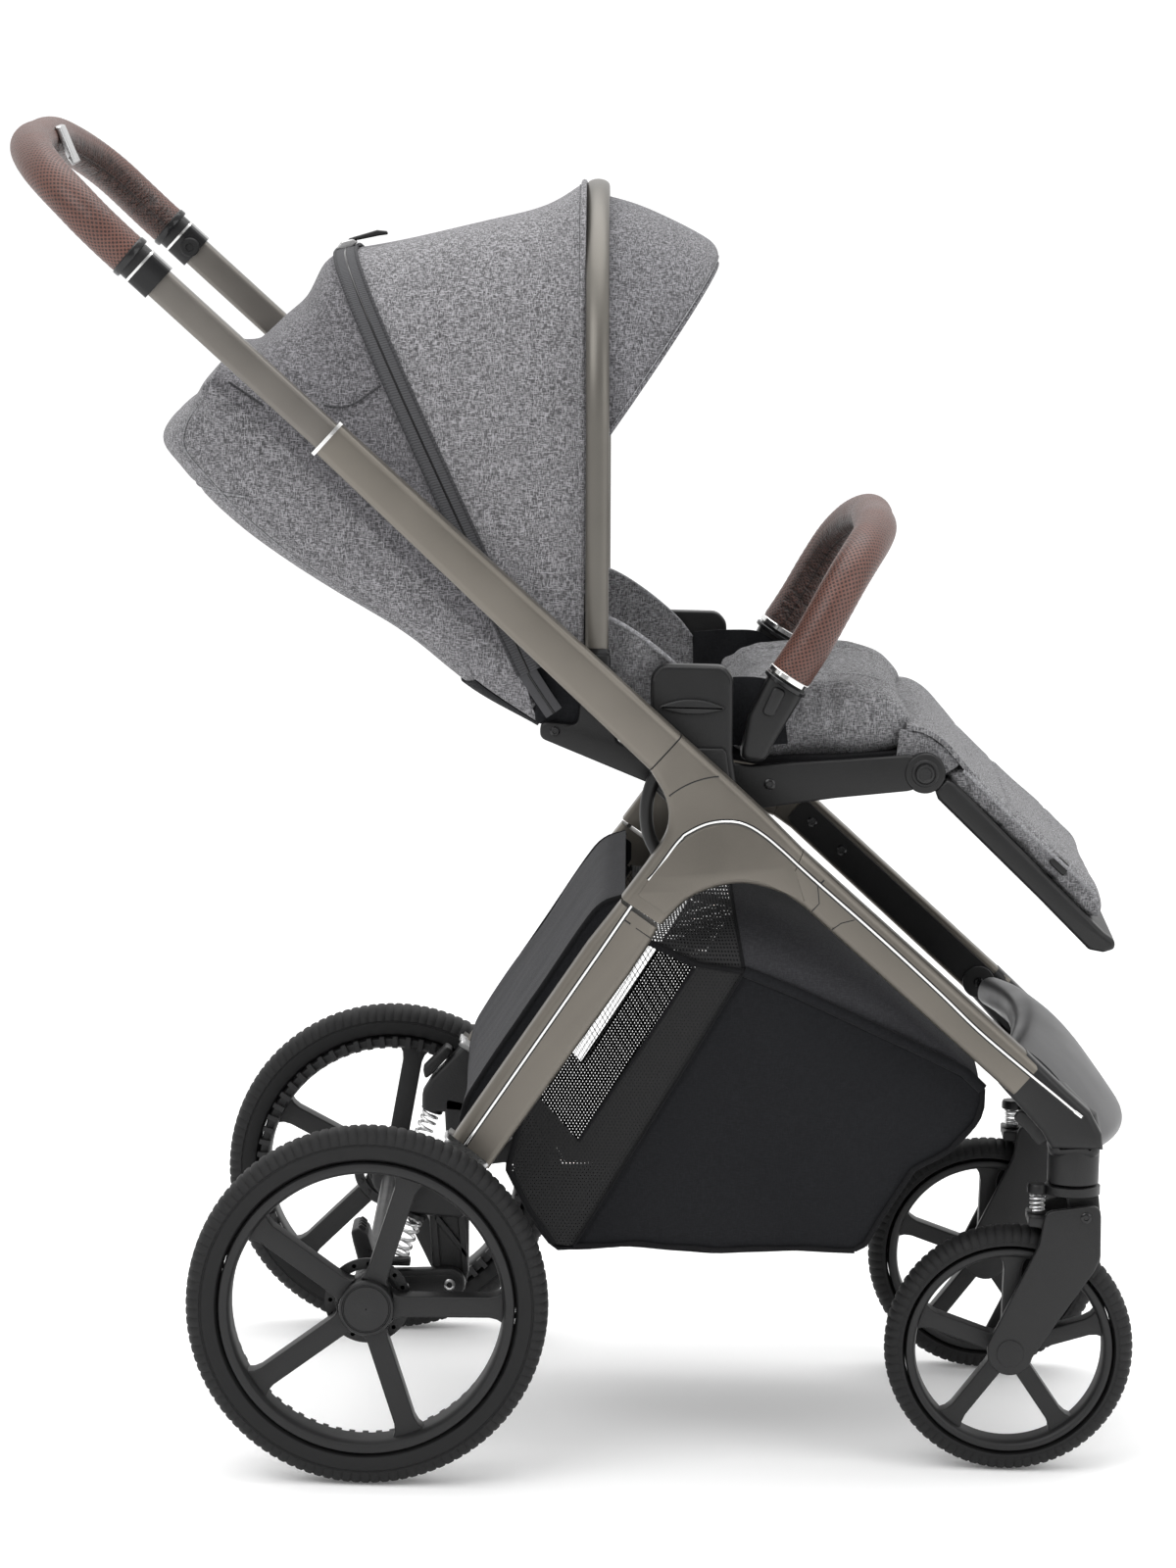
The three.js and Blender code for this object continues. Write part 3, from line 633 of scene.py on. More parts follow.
def leather(name, colour, around=2 * pi * 0.017):
    """Leather round a bent tube: a staggered lattice of punched holes, creased with one seam on its inner side.

    u runs along the tube and v round it, in metres. The inner side of the bend is a quarter turn from v = 0."""
    s = Surface(name)
    split = s.node("SeparateXYZ", {0: s.uv})
    u, v = split.outputs[0], split.outputs[1]
    turn = s.math("FRACT", s.math("DIVIDE", v, around))
    pitch = 0.0042
    row = s.math("FLOOR", s.math("DIVIDE", v, pitch * 0.5))
    odd = s.math("MULTIPLY", s.math("FRACT", s.math("MULTIPLY", row, 0.5)), pitch)
    du = s.math("SUBTRACT", s.math("FRACT", s.math("DIVIDE", s.math("ADD", u, odd), pitch)), 0.5)
    dv = s.math("SUBTRACT", s.math("FRACT", s.math("DIVIDE", v, pitch * 0.5)), 0.5)
    dv = s.math("MULTIPLY", dv, 0.5)
    reach = s.math("SQRT", s.math("ADD", s.math("MULTIPLY", du, du), s.math("MULTIPLY", dv, dv)))
    hole = s.spread(reach, 0.17, 0.27, 1.0, 0.0)
    inner = s.math("ABSOLUTE", s.math("SUBTRACT", turn, 0.25))
    creased = s.spread(inner, 0.10, 0.17, 1.0, 0.0)
    seam = s.spread(inner, 0.004, 0.012, 1.0, 0.0)
    crease = s.noise(1.0, 3.0, s.node("CombineXYZ", {0: s.math("MULTIPLY", u, 230.0),
                                                    1: s.math("MULTIPLY", v, 90.0), 2: 0.0}).outputs[0])
    grain = s.cells(650.0)
    hide = s.noise(40.0, 3.0)
    base = s.mix(s.spread(hide, 0.3, 0.7), shade(colour, 0.85), shade(colour, 1.15))
    base = s.mix(s.spread(grain, 0.0, 0.6, 0.25, 0.0), base, shade(colour, 1.5))
    # Painted shade: the creased inner side of the bend is darkened, and darker still in the hollows of its
    # creases.
    base = s.mix(s.math("MULTIPLY", creased, 0.55), base, shade(colour, 0.3))
    base = s.mix(s.math("MULTIPLY", s.spread(crease, 0.35, 0.6, 0.9, 0.0), creased), base, shade(colour, 0.12))
    base = s.mix(s.math("MULTIPLY", s.math("MAXIMUM", hole, seam), 0.9), base, shade(colour, 0.12))
    under = s.bump(s.math("SUBTRACT", 1.0, s.math("MAXIMUM", hole, seam)), 0.8, 0.0008)
    under = s.bump(s.math("MULTIPLY", crease, creased), 1.0, 0.0045, under)
    return s.set(Base_Color=base, Roughness=s.spread(hide, 0.3, 0.7, 0.36, 0.46),
                 Normal=s.bump(grain, 0.2, 0.0003, under), Specular_IOR_Level=0.5)


def woven(name, colour, fleck=0.35, pitch=0.0011, soft=0.3, sheen=0.15):
    """Woven cloth: crossing threads with painted shade between them, dashes of paler and darker yarn both ways,
    and a little nap.
    """
    s = Surface(name)
    split = s.node("SeparateXYZ", {0: s.place})
    x, y, z = split.outputs
    turn = 2 * pi / pitch
    slope = s.math("ADD", x, s.math("MULTIPLY", z, 0.6))
    warp = s.math("SINE", s.math("MULTIPLY", s.math("ADD", y, z), turn))
    weft = s.math("SINE", s.math("MULTIPLY", slope, turn))
    weave = s.math("MULTIPLY", warp, weft)
    long_yarn = s.noise(1.0, 2.0, s.scaled((260.0, 260.0, 1500.0)))
    cross_yarn = s.noise(1.0, 2.0, s.scaled((1500.0, 260.0, 260.0)))
    cloud = s.noise(9.0, 3.0)
    dark = s.spread(s.math("MINIMUM", long_yarn, cross_yarn), 0.32, 0.50, 1.0, 0.0)
    pale = s.spread(s.math("MAXIMUM", long_yarn, cross_yarn), 0.54, 0.70)
    base = s.mix(s.math("MULTIPLY", dark, fleck * 2.0, True), colour, shade(colour, 0.25))
    base = s.mix(s.math("MULTIPLY", pale, fleck * 1.8, True), base, shade(colour, 2.1))
    base = s.mix(s.spread(cloud, 0.3, 0.7, 0.0, 0.25), base, shade(colour, 0.85))
    # Painted shade: the low points of the weave, between the threads, are darkened.
    base = s.mix(s.spread(weave, -1.0, 1.0, 0.3, 0.0), base, shade(colour, 0.55))
    height = s.math("ADD", s.math("MULTIPLY", weave, 0.5), s.math("SUBTRACT", pale, dark))
    return s.set(Base_Color=base, Roughness=s.spread(cloud, 0.3, 0.7, 0.86, 0.95), Sheen_Weight=sheen,
                 Sheen_Roughness=0.5, Specular_IOR_Level=0.15, Normal=s.bump(height, soft, 0.0005))


def netting(name, colour, pitch=0.0024, thread=0.3, axes=(1.0, 0.0, 1.0, 0.0, 0.0, 1.0)):
    """Open netting: crossing threads with clear holes between them."""
    s = Surface(name)
    split = s.node("SeparateXYZ", {0: s.place})
    x, z = split.outputs[0], split.outputs[2]
    y = s.math("ABSOLUTE", split.outputs[1])

    def across(a, b, c):
        total = s.math("ADD", s.math("MULTIPLY", x, a), s.math("MULTIPLY", y, b))
        total = s.math("ADD", total, s.math("MULTIPLY", z, c))
        cell = s.math("FRACT", s.math("DIVIDE", total, pitch))
        return s.math("ABSOLUTE", s.math("SUBTRACT", cell, 0.5))

    first, second = across(*axes[:3]), across(*axes[3:])
    web = s.math("MAXIMUM", s.math("GREATER_THAN", first, 0.5 - thread * 0.5),
                 s.math("GREATER_THAN", second, 0.5 - thread * 0.5))
    knot = s.noise(700.0, 2.0)
    base = s.mix(s.spread(knot, 0.3, 0.7), shade(colour, 0.7), shade(colour, 1.4))
    return s.set(Base_Color=base, Roughness=s.spread(knot, 0.3, 0.7, 0.7, 0.9), Alpha=web,
                 Normal=s.bump(s.math("ADD", first, second), 0.4, 0.0004))


def taped(name, colour, axes, pitch=0.0022):
    """Ribbed tape or a coil zip: close ribs across its length, painted darker in their hollows and paler on
    their crests as shade and highlight.
    """
    s = Surface(name)
    split = s.node("SeparateXYZ", {0: s.uv})
    ribs = s.math("SINE", s.math("MULTIPLY", split.outputs[axes], 2 * pi / pitch))
    lint = s.noise(900.0, 2.0)
    # Painted shade and highlight: the ribs' hollows are darker and their crests paler.
    base = s.mix(s.spread(ribs, -1.0, 1.0), shade(colour, 0.6), shade(colour, 1.3))
    base = s.mix(s.spread(lint, 0.4, 0.8, 0.0, 0.4), base, shade(colour, 1.8))
    return s.set(Base_Color=base, Roughness=s.spread(lint, 0.3, 0.7, 0.75, 0.9),
                 Normal=s.bump(ribs, 0.5, 0.0005))


GUNMETAL = painted("gunmetal", (0.138, 0.126, 0.109), metal=0.75, roughness=0.36)
TUBE_METAL = painted("inner_tube_metal", (0.126, 0.117, 0.106), metal=0.75, roughness=0.34)
BOW_METAL = painted("bow_metal", (0.131, 0.123, 0.110), metal=0.75, roughness=0.36)
ANTHRACITE = painted("anthracite", (0.060, 0.060, 0.062), metal=0.5, roughness=0.36, edge_highlight=0.1)
BLACK = moulded("black_plastic", (0.0036, 0.0036, 0.0039), roughness=0.44, grain=0.25)
GLOSS = moulded("gloss_black", (0.006, 0.006, 0.0065), roughness=0.22, grain=0.05)
SATIN = moulded("satin_plastic", (0.0074, 0.0074, 0.0078), roughness=0.47, grain=0.3)
SPOKE = moulded("spoke_plastic", (0.0078, 0.0078, 0.0082), roughness=0.5, grain=0.3)
CASTING = moulded("dark_casting", (0.010, 0.010, 0.0105), roughness=0.48, grain=0.5, size=600.0)
CHROME = metal("chrome", (0.88, 0.88, 0.87), 0.08)
STEEL = metal("satin_steel", (0.50, 0.50, 0.50), 0.26)
SPRING = metal("spring_steel", (0.85, 0.85, 0.85), 0.3)
TYRE = rubber("tyre_rubber", (0.0095, 0.0095, 0.0098))
LEATHER = leather("brown_leather", (0.118, 0.050, 0.037))
CANOPY_CLOTH = woven("canopy_cloth", (0.192, 0.189, 0.198), fleck=0.75)
# The rear hood's cloth is the canopy cloth painted darker: painted shade.
HOOD_CLOTH_SHADED = woven("rear_hood_shaded_cloth", (0.132, 0.129, 0.138), fleck=0.75)
VISOR_CLOTH = woven("visor_cloth", (0.142, 0.140, 0.149), fleck=0.75)
PAD_CLOTH = woven("pad_cloth", (0.180, 0.179, 0.186), fleck=0.6, pitch=0.0014, soft=0.5)
PIPING = woven("piping", (0.24, 0.24, 0.25), fleck=0.4, pitch=0.0009)
SHELL_CLOTH = woven("shell_cloth", (0.172, 0.169, 0.178), fleck=0.75)
DARK_CLOTH = woven("dark_cloth", (0.0125, 0.013, 0.0148), fleck=0.15, pitch=0.0009, sheen=0.03)
COVER_CLOTH = woven("cover_cloth", (0.040, 0.040, 0.044), fleck=0.15, pitch=0.0012, sheen=0.05)
LINING = woven("lining", (0.010, 0.010, 0.011), fleck=0.15, pitch=0.0009, sheen=0.02)
SIDE_NET = (1.0, 0.0, 0.6, -1.0, 0.0, 0.6)
DARK_NET = netting("dark_net", (0.006, 0.006, 0.0065), pitch=0.0030, thread=0.72, axes=SIDE_NET)
FINE_NET = netting("fine_net", (0.012, 0.012, 0.012), pitch=0.0042, thread=0.10, axes=SIDE_NET)
TOP_NET = netting("top_net", (0.014, 0.014, 0.015), pitch=0.0026, thread=0.58,
                  axes=(1.0, 0.0, 0.3, 0.0, -0.7, 0.7))
ZIP_TAPE = taped("zip_tape", (0.048, 0.048, 0.052), 0)
ZIP_CORD = taped("zip_cord", (0.030, 0.030, 0.033), 0, pitch=0.0036)
# The slot of each material, unless a piece names another.
SLOTS = {"gunmetal": (GUNMETAL, TUBE_METAL, BOW_METAL), "black_plastic": (BLACK, GLOSS, CASTING),
         "satin_plastic": (ANTHRACITE, SATIN, SPOKE), "chrome": (CHROME,), "spring_steel": (SPRING,),
         "tyre_rubber": (TYRE,), "brown_leather": (LEATHER,),
         "grey_fabric": (CANOPY_CLOTH, HOOD_CLOTH_SHADED, VISOR_CLOTH, PAD_CLOTH, PIPING, SHELL_CLOTH),
         "dark_fabric": (DARK_CLOTH, COVER_CLOTH, LINING, DARK_NET, FINE_NET, TOP_NET, ZIP_TAPE, ZIP_CORD), }
SLOT_OF = {material.name: slot for slot, materials in SLOTS.items() for material in materials}


# ---------------------------------------------------------------- chassis tubes, hubs and legs
def bar_outline(start, end, top, low_start, low_end):
    """The side outline of a length of the long bar, its lower edge at two depths."""
    return [on_bar(start, top), on_bar(end, top), on_bar(end, low_end), on_bar(start, low_start)]


def bar_plate(outline, near, far, edge, inner_edge=None):
    """A length of tube along the long bar, rounded along its four long edges and square at its ends."""
    return plate(outline, near, far, edge, inner_edge,
                 ends=[(outline[0], outline[3]), (outline[1], outline[2])])


def along_bar(points):
    return [on_bar(u, w) for u, w in points]


def circle_arc(centre, radius, start, end):
    """Points on an arc from the bearing of one point to the bearing of another."""
    count = 14
    a = atan2(start[1] - centre[1], start[0] - centre[0])
    b = atan2(end[1] - centre[1], end[0] - centre[0])
    return [(centre[0] + radius * cos(a + (b - a) * k / count),
             centre[1] + radius * sin(a + (b - a) * k / count)) for k in range(count + 1)]


EDGE = 6.5  # rounding of the chassis tubes' long edges
ARCH = [on_bar(697, -35.5), (123, 482), (107, 484.5), (92, 483), (76, 478), (60, 469), (41.5, 449.5)]
NECK = [(9, 470.5), (29, 499), (41, 518), (45, 533), (42, 552), on_bar(550.3, -35)]
HUB_TOP = [on_bar(550.3, 2), on_bar(600, 2.4), on_bar(640, 2), on_bar(683.8, 0)]
HUB = HUB_TOP + catmull(ARCH, 24) + catmull(NECK, 20)
HUB_ENDS = [(on_bar(550.3, -35), on_bar(550.3, 2)), (on_bar(683.8, 0), ARCH[0]), (ARCH[-1], NECK[0])]
both("hub_shell", plate(HUB, INNER, OUTER, EDGE, 4, ends=HUB_ENDS), GUNMETAL, "chassis", stands_for=["hub_"],
     smooth=50)

LEG = [on_bar(684.4, 0), on_bar(LEG_END, 0), on_bar(LEG_END, -33), on_bar(715, -33), on_bar(697.4, -35.2)]
LEG_FINE = even(LEG[:2], 16) + even(LEG[2:4], 16) + [LEG[4]]
LEG_ENDS = [(LEG[0], LEG[4]), (LEG[1], LEG[2])]
both("front_leg_shell", lean_in(plate(LEG_FINE, INNER, OUTER, EDGE, 4, ends=LEG_ENDS)), GUNMETAL, "chassis",
     stands_for=["front_leg_"], smooth=50)

REAR_LEG = [(8.5, 467), (38.3, 446.5), (34, 437), (17, 409), (-92.5, 247), (-123.5, 269.5), (-17, 433)]
both("rear_leg_shell", plate(REAR_LEG, INNER, OUTER, EDGE, 4, ends=[REAR_LEG[0:2], REAR_LEG[4:6]]), GUNMETAL,
     "rear_frame", stands_for=["rear_leg_"], smooth=50)

SLEEVE = bar_outline(SLEEVE_START, FOLD_CUT - 0.2, 2, -28, -35)
both("bar_sleeve", bar_plate(SLEEVE, INNER, OUTER, EDGE, 4), GUNMETAL, "push_bar",
     stands_for=["handle_sleeve_"], smooth=50)


def band(start, end, top, low, near, far, edge):
    """A ring or end piece round the long bar."""
    return bar_plate(bar_outline(start, end, top, low, low), near, far, edge, edge)


both("sleeve_ring", band(SLEEVE_START - 2.6, SLEEVE_START + 0.4, 4.6, -31.0, INNER - 1.4, OUTER + 1.4, 8),
     CHROME, "push_bar")
both("fold_gap_band", band(FOLD_CUT - 0.9, FOLD_CUT - 0.1, 2.1, -35.1, INNER - 0.1, OUTER + 0.1, EDGE),
     BLACK, "push_bar")

# The fine bright line let into the tubes' faces, with dark edges, and the parting lines across them.
INLAY_FRONT = [(59, 524), (74, 532), (90, 535), (106, 533), (122, 524), (138, 511), (148, 502), (163, 489)]
INLAY_HUB_REAR = [(30, 486), (36, 493), (51, 515), (59, 524)]
INLAY_LEG = [(163, 489), (218, 442), (266, 399), (299, 368), (339, 335), (363, 316), (378, 304)]
INLAY_REAR = [(-115, 262), (-80, 315.7), (-45, 369.3), (-10, 423), (17, 465)]


def inlay(name, points, body, change=None):
    """The bright line and its dark edges, on both sides. change bends a strip to its tube."""
    fine = even(catmull(points, 60), 60)
    for kind, width, proud, material, slot in (("edge", 4.0, 0.25, GLOSS, "black_plastic"),
                                               ("line", 1.8, 0.75, CHROME, "chrome")):
        strip = ribbon(fine, OUTER, width, proud)
        both(f"{name}_{kind}", change(strip) if change else strip, material, body, slot)


inlay("hub_inlay", catmull(INLAY_HUB_REAR, 12)[:-1] + INLAY_FRONT, "chassis")
inlay("leg_inlay", INLAY_LEG, "chassis", lean_in)
inlay("rear_leg_inlay", INLAY_REAR, "rear_frame")
# The hub's face is raised a little below the bright line.
RAISED_TOP = catmull([(22, 474), (32, 489), (50, 512), (60, 521), (74, 529), (90, 532), (106, 530),
                      (121, 521.5), (137, 508.5), (146, 500)], 36)
RAISED_LOW = [(x, z + 4) for x, z in catmull(ARCH[1:-1], 16)]
RAISED = RAISED_TOP + [on_bar(712, -29)] + RAISED_LOW + [(44, 459)]
both("hub_face", plate(RAISED, OUTER - 0.5, FACE - 0.2, 0.6, 0), GUNMETAL, "chassis", smooth=60)


def parting(name, points, body, width=1.1, change=None):
    """A narrow dark joint between two mouldings."""
    strip = ribbon(points, OUTER, width, 0.12)
    both(name, change(strip) if change else strip, GLOSS, body)


parting("neck_seam", circle_arc((91, 501), 70.5, (44, 555), (84, 571)), "chassis")
parting("leg_seam_upper", along_bar([(712, -5.5), (712, -13)]), "chassis", 1.4, lean_in)
parting("leg_seam", along_bar([(712, -13), (722, -22), (722, -31)]), "chassis", 0.8, lean_in)
parting("leg_seam_lower", along_bar([(752, -13), (746, -22), (744, -31)]), "chassis", 0.8, lean_in)
parting("rear_leg_seam", [(8.5, 455.5), (16.5, 450.2)], "rear_frame", 1.4)
parting("rear_leg_seam_low", [(21, 447), (33, 439)], "rear_frame", 0.8)

# The legs' black inner rails, their bolts, and the catch that locks the fold.
RAIL = round_corners(along_bar([(706, -5), (934, -5), (934, -29), (706, -29)]), 7)
both("inner_rail", lean_in(plate(RAIL, 197.4, INNER + 1, 1.5, 0)), BLACK, "chassis")
HINGE_DISC = (321, 339)
for number, (x, z) in enumerate([(173, 474), (199, 450), HINGE_DISC, (349, 316)]):
    share = (x - on_bar(LEG_CUT, 0)[0]) / (on_bar(LEG_END, 0)[0] - on_bar(LEG_CUT, 0)[0])
    face = 197.4 - LEG_INSET * share
    if (x, z) == HINGE_DISC:
        both("hinge_disc", disc((x, z), 14, face - 3, face + 0.6, 1.2), SATIN, "chassis")
        face -= 3
    both(f"rail_bolt_{number}", socket_bolt(x, z, -face, 1, 4.4, 2.4), GLOSS, "chassis")
LOCK = round_corners([(336, 300), (351, 291), (361, 276), (352, 270), (341, 283), (330, 292)], 4)
both("leg_lock", plate(LOCK, 183, 191, 1.5), SATIN, "chassis")

# ---------------------------------------------------------------- push bar: inner tube, collar, grip, lever
TUBE_UP = bar_outline(1.5, 371, -0.3, -25.2, -25.2)
both("inner_tube", bar_plate(TUBE_UP, 206, 226, 5.0, 4), TUBE_METAL, "handle",
     stands_for=["handle_tube_"], smooth=50)
both("handle_collar", band(-17.5, 1.4, 2.4, -28.0, 202.2, 229.8, 5.0), GLOSS, "handle")
both("collar_ring", band(-19.6, -17.6, 3.0, -28.4, 201.6, 230.4, 7.5), CHROME, "handle")
both("collar_end", band(-27, -19.7, 2.4, -28.0, 202.2, 229.8, 10.0), BLACK, "handle")
both("collar_boss", turned([(0, 8.2), (2.4, 8.2), (3.2, 7.2), (3.2, 3.6), (1.6, 3.4)],
                           (*on_bar(-5.5, -12.5)[:1], -202.6, on_bar(-5.5, -12.5)[1]), (0, 1, 0)),
     BLACK, "handle")

end = on_bar(-27.3, -12.7)
GRIP_HALF = [(end[0], 216, end[1]), (-406, 216, 984.5), (-423, 215, 1000), (-440, 208, 1016), (-455, 193, 1029),
             (-467, 170, 1039), (-476, 140, 1046.5), (-482, 105, 1051.5), (-484.5, 60, 1053.5),
             (-484.5, 0, 1053.5)]


def whole_bow(half):
    """The path of a bow from right to left through the points of its left half."""
    return [(x, -y, z) for x, y, z in half] + [(x, y, z) for x, y, z in half[-2::-1]]


GRIP_PATH = even(catmull(whole_bow(GRIP_HALF), 220), 260)


def leather_tube(path):
    """Leather round a tube, drawn in at both ends and slightly full between its stitches."""
    total = sum((Vector(b) - Vector(a)).length for a, b in zip(path, path[1:]))

    def swell(run, radius):
        end_gap = min(run, total - run)
        return radius - 1.3 * max(0.0, 1 - end_gap / 5.0) + 0.12 * sin(run * 0.9)

    return tube(path, GRIP_RADIUS, 40, first=(1, 0, 0), swell=swell)


piece("leather_grip", leather_tube(GRIP_PATH), LEATHER, "handle", stands_for=["handle_grip"], smooth=60)
both("grip_end_ring", turned([(0, 15.5), (0, 17.6), (1, 18.2), (5, 18.2), (6, 17.4), (6, 15.5)],
                             (end[0] + 0.5, -216, end[1] - 0.4), (-0.78, 0, 0.62), 40), GLOSS, "handle")

LEVER = round_corners([(-471.5, 1066), (-466, 1066), (-459, 1050), (-454, 1038.5), (-456.5, 1036),
                       (-459.5, 1038), (-465, 1050)], 2)
piece("handle_lever", slab(LEVER, 20, 2.0), STEEL, "handle_release", "satin_plastic",
      stands_for=["handle_release"])
TAB = round_corners([(-459.5, 1040), (-455.5, 1034), (-453.4, 1036.5), (-456.5, 1043)], 1)
piece("handle_lever_tab", slab(TAB, 26, 1.2), STEEL, "handle_release", "satin_plastic")
both("lever_seat", turned([(0, 7), (3, 7.5), (3.6, 6.8)], (-478, -26, 1064), (0.5, 0, 0.86), 24), GLOSS,
     "handle")


# ---------------------------------------------------------------- wheels
def tyre_shape(radius, seat, width, ribs, centre):
    """A solid tyre with close short ribs over its shoulders and tread."""
    h = width / 2
    side = [(seat, h - 6.5), (seat + 2.6, h - 2.2), (seat + 6.5, h - 0.5), (radius - 14.5, h),
            (radius - 13.6, h), (radius - 12.6, h - 1.0), (radius - 11.8, h - 1.0), (radius - 11.0, h - 0.1),
            (radius - 7, h - 1.6), (radius - 3.6, h - 4.6), (radius - 1.4, h - 8.6), (radius - 0.2, h - 14)]
    profile = [(r, -y) for r, y in side] + [(radius, 0)] + list(reversed(side)) + [(seat, 0)]
    steps = 4

    def wave(i, k):
        r, y = profile[i]
        if r < radius - 11.3 or k % steps != 0:
            return 0.0, 0.0
        lift = -1.1 if abs(y) < h - 3 else -0.3
        return lift, (0.8 if y < 0 else -0.8) if abs(y) > 3 else 0.0

    return lathe(profile, centre, ribs * steps, wave)


def rim_shape(opening, seat, width, centre):
    """The rim: a flange on each side, a dark seat for the tyre and a dished inside."""
    h = width / 2
    side = [(opening, h - 9), (opening + 1.2, h - 3.6), (opening + 3.0, h - 1.4), (seat - 3.2, h - 0.8),
            (seat - 1.6, h - 1.3), (seat - 0.8, h - 2.8), (seat - 0.4, h - 6)]
    profile = [(r, -y) for r, y in side] + list(reversed(side)) + [(opening + 0.8, 0)]
    return lathe(profile, centre, 120)


def spoke_shape(angle, centre, inner, outer, width, half):
    """A flat spoke that widens into the hub and the rim."""
    w = width / 2
    side = [(inner, w + 3.0), (inner + 4, w + 0.6), (inner + 9, w), (outer - 13, w), (outer - 7, w + 1.4),
            (outer - 3, w + 4.0), (outer, w + 8.5)]
    outline = [(r, -s) for r, s in side] + [(r, s) for r, s in reversed(side)]
    turned_outline = [(centre[0] + r * cos(angle) - s * sin(angle), centre[2] + r * sin(angle) + s * cos(angle))
                      for r, s in outline]
    return plate(turned_outline, -centre[1] - half, -centre[1] + half, 1.6)


def hub_cap(centre, radius, half, groove):
    """The wheel's boss, with a groove round its face on each side."""
    face = [(radius, half - 1.6), (radius - 0.5, half - 0.5), (radius - 1.6, half), (groove + 0.9, half),
            (groove + 0.3, half - 0.9), (groove - 0.4, half - 0.9), (groove - 1.0, half),
            (groove * 0.5, half + 0.5), (0.6, half + 0.7)]
    profile = [(r, -y) for r, y in reversed(face)] + face
    return lathe(profile, centre, 56)


def wheel(kind, side, spec, phase):
    """A wheel of five spokes, turned by phase degrees."""
    sign = -1 if side == "right" else 1
    hub = spec["hub"]
    centre = (spec["x"], sign * spec["y"], spec["z"])
    body = f"{kind}_wheel_{side}"
    piece(f"{kind}_tread_{side}", tyre_shape(spec["radius"], spec["seat"], spec["width"], spec["ribs"], centre),
          TYRE, body, stands_for=[f"{kind}_tyre_{side}"], smooth=35)
    piece(f"{kind}_rim_ring_{side}", rim_shape(spec["opening"], spec["seat"], spec["width"], centre), SPOKE,
          body, stands_for=[f"{kind}_rim_{side}"], smooth=40)
    star = Shape()
    for k in range(5):
        angle = radians(phase + 72 * k)
        star.add(spoke_shape(angle, centre, hub - 1.5, spec["opening"] + 2.5, spec["spoke"],
                             spec["spoke_half"]))
    piece(f"{kind}_spokes_{side}", star, SPOKE, body, smooth=45)
    piece(f"{kind}_hub_cap_{side}", hub_cap(centre, hub, spec["hub_half"], hub - 3.2), SPOKE, body, smooth=40)


for kind, side, spec, phase in (("rear", "right", REAR_WHEEL, 1), ("rear", "left", REAR_WHEEL, 9),
                                ("front", "right", FRONT_WHEEL, 17), ("front", "left", FRONT_WHEEL, 17)):
    wheel(kind, side, spec, phase)

# Each rear wheel has teeth inside its rim and a ring of brake pins at its hub, both on the inner side.
notches = Shape()
for k in range(64):
    a = 2 * pi * k / 64
    c, s = cos(a), sin(a)
    corners = [(r * c - w * s, r * s + w * c) for r, w in ((110, -2.4), (120, -2.1), (120, 2.1), (110, 2.4))]
    tooth = [(REAR_HUB[0] + x, REAR_HUB[1] + z) for x, z in corners]
    notches.add(plate(tooth, 250.5, 256.0, 0.5, 0, 1))
both("brake_teeth", notches, SPOKE, "rear_wheel_", smooth=40)

ring = Shape()
for k in range(16):
    a = 2 * pi * k / 16
    x, z = REAR_WHEEL["x"] + 30 * cos(a), REAR_WHEEL["z"] + 30 * sin(a)
    ring.add(disc((x, z), 2.6, 258.5, 264, 0.8, 12))
ring.add(lathe([(26, -259.5), (33.5, -259.5), (34.5, -261), (34.5, -264), (26, -264)],
               (REAR_WHEEL["x"], 0, REAR_WHEEL["z"]), 64))
both("brake_ring", ring, SATIN, "rear_wheel_", smooth=40)

# ---------------------------------------------------------------- rear brackets, arms, axle, springs, brake
HEAD = round_corners([(-124, 268.5), (-152, 238), (-160, 224), (-160, 209), (-112, 206), (-93, 246.4)], 6)
both("rear_bracket_head", plate(HEAD, 203.2, 228.8, 3.5), CASTING, "rear_frame", stands_for=["rear_bracket_"])
CHEEK = round_corners([(-141, 222), (-137, 165), (-133, 143), (-122, 139), (-110, 144), (-107, 160),
                       (-108, 215)], 5)
both("rear_bracket_cheek", plate(CHEEK, 203.2, 213.8, 2.0), CASTING, "rear_frame")
for number, rib in enumerate(([(-141, 222), (-133, 143), (-128, 141), (-135, 222)],
                              [(-135, 210), (-108, 176), (-108, 170), (-136, 203)],
                              [(-112, 216), (-107, 160), (-112, 160), (-118, 216)])):
    both(f"rear_bracket_rib_{number}", plate(round_corners(rib, 1.5), 213.4, 219.0, 0.8), CASTING, "rear_frame")
COLLAR = [(-127.5, 275.0), (-129.5, 271.5), (-97, 247.3), (-90.0, 250.5)]
both("rear_leg_ring", plate(round_corners(COLLAR, 1.5), 202.4, 229.8, 6.5), STEEL, "rear_frame", "chrome",
     smooth=50)
both("rear_strut_hook",
     plate(round_corners([(-158, 236), (-150, 243), (-134, 262), (-140, 267), (-160, 246)], 3), 204, 226, 2),
     BLACK, "rear_frame")
for number, (x, z) in enumerate([(-159, 149), (-122, 152)]):
    both(f"arm_bolt_{number}", socket_bolt(x, z, -229.3, -1, 4.6, 1.6), STEEL, "rear_axle", "chrome")

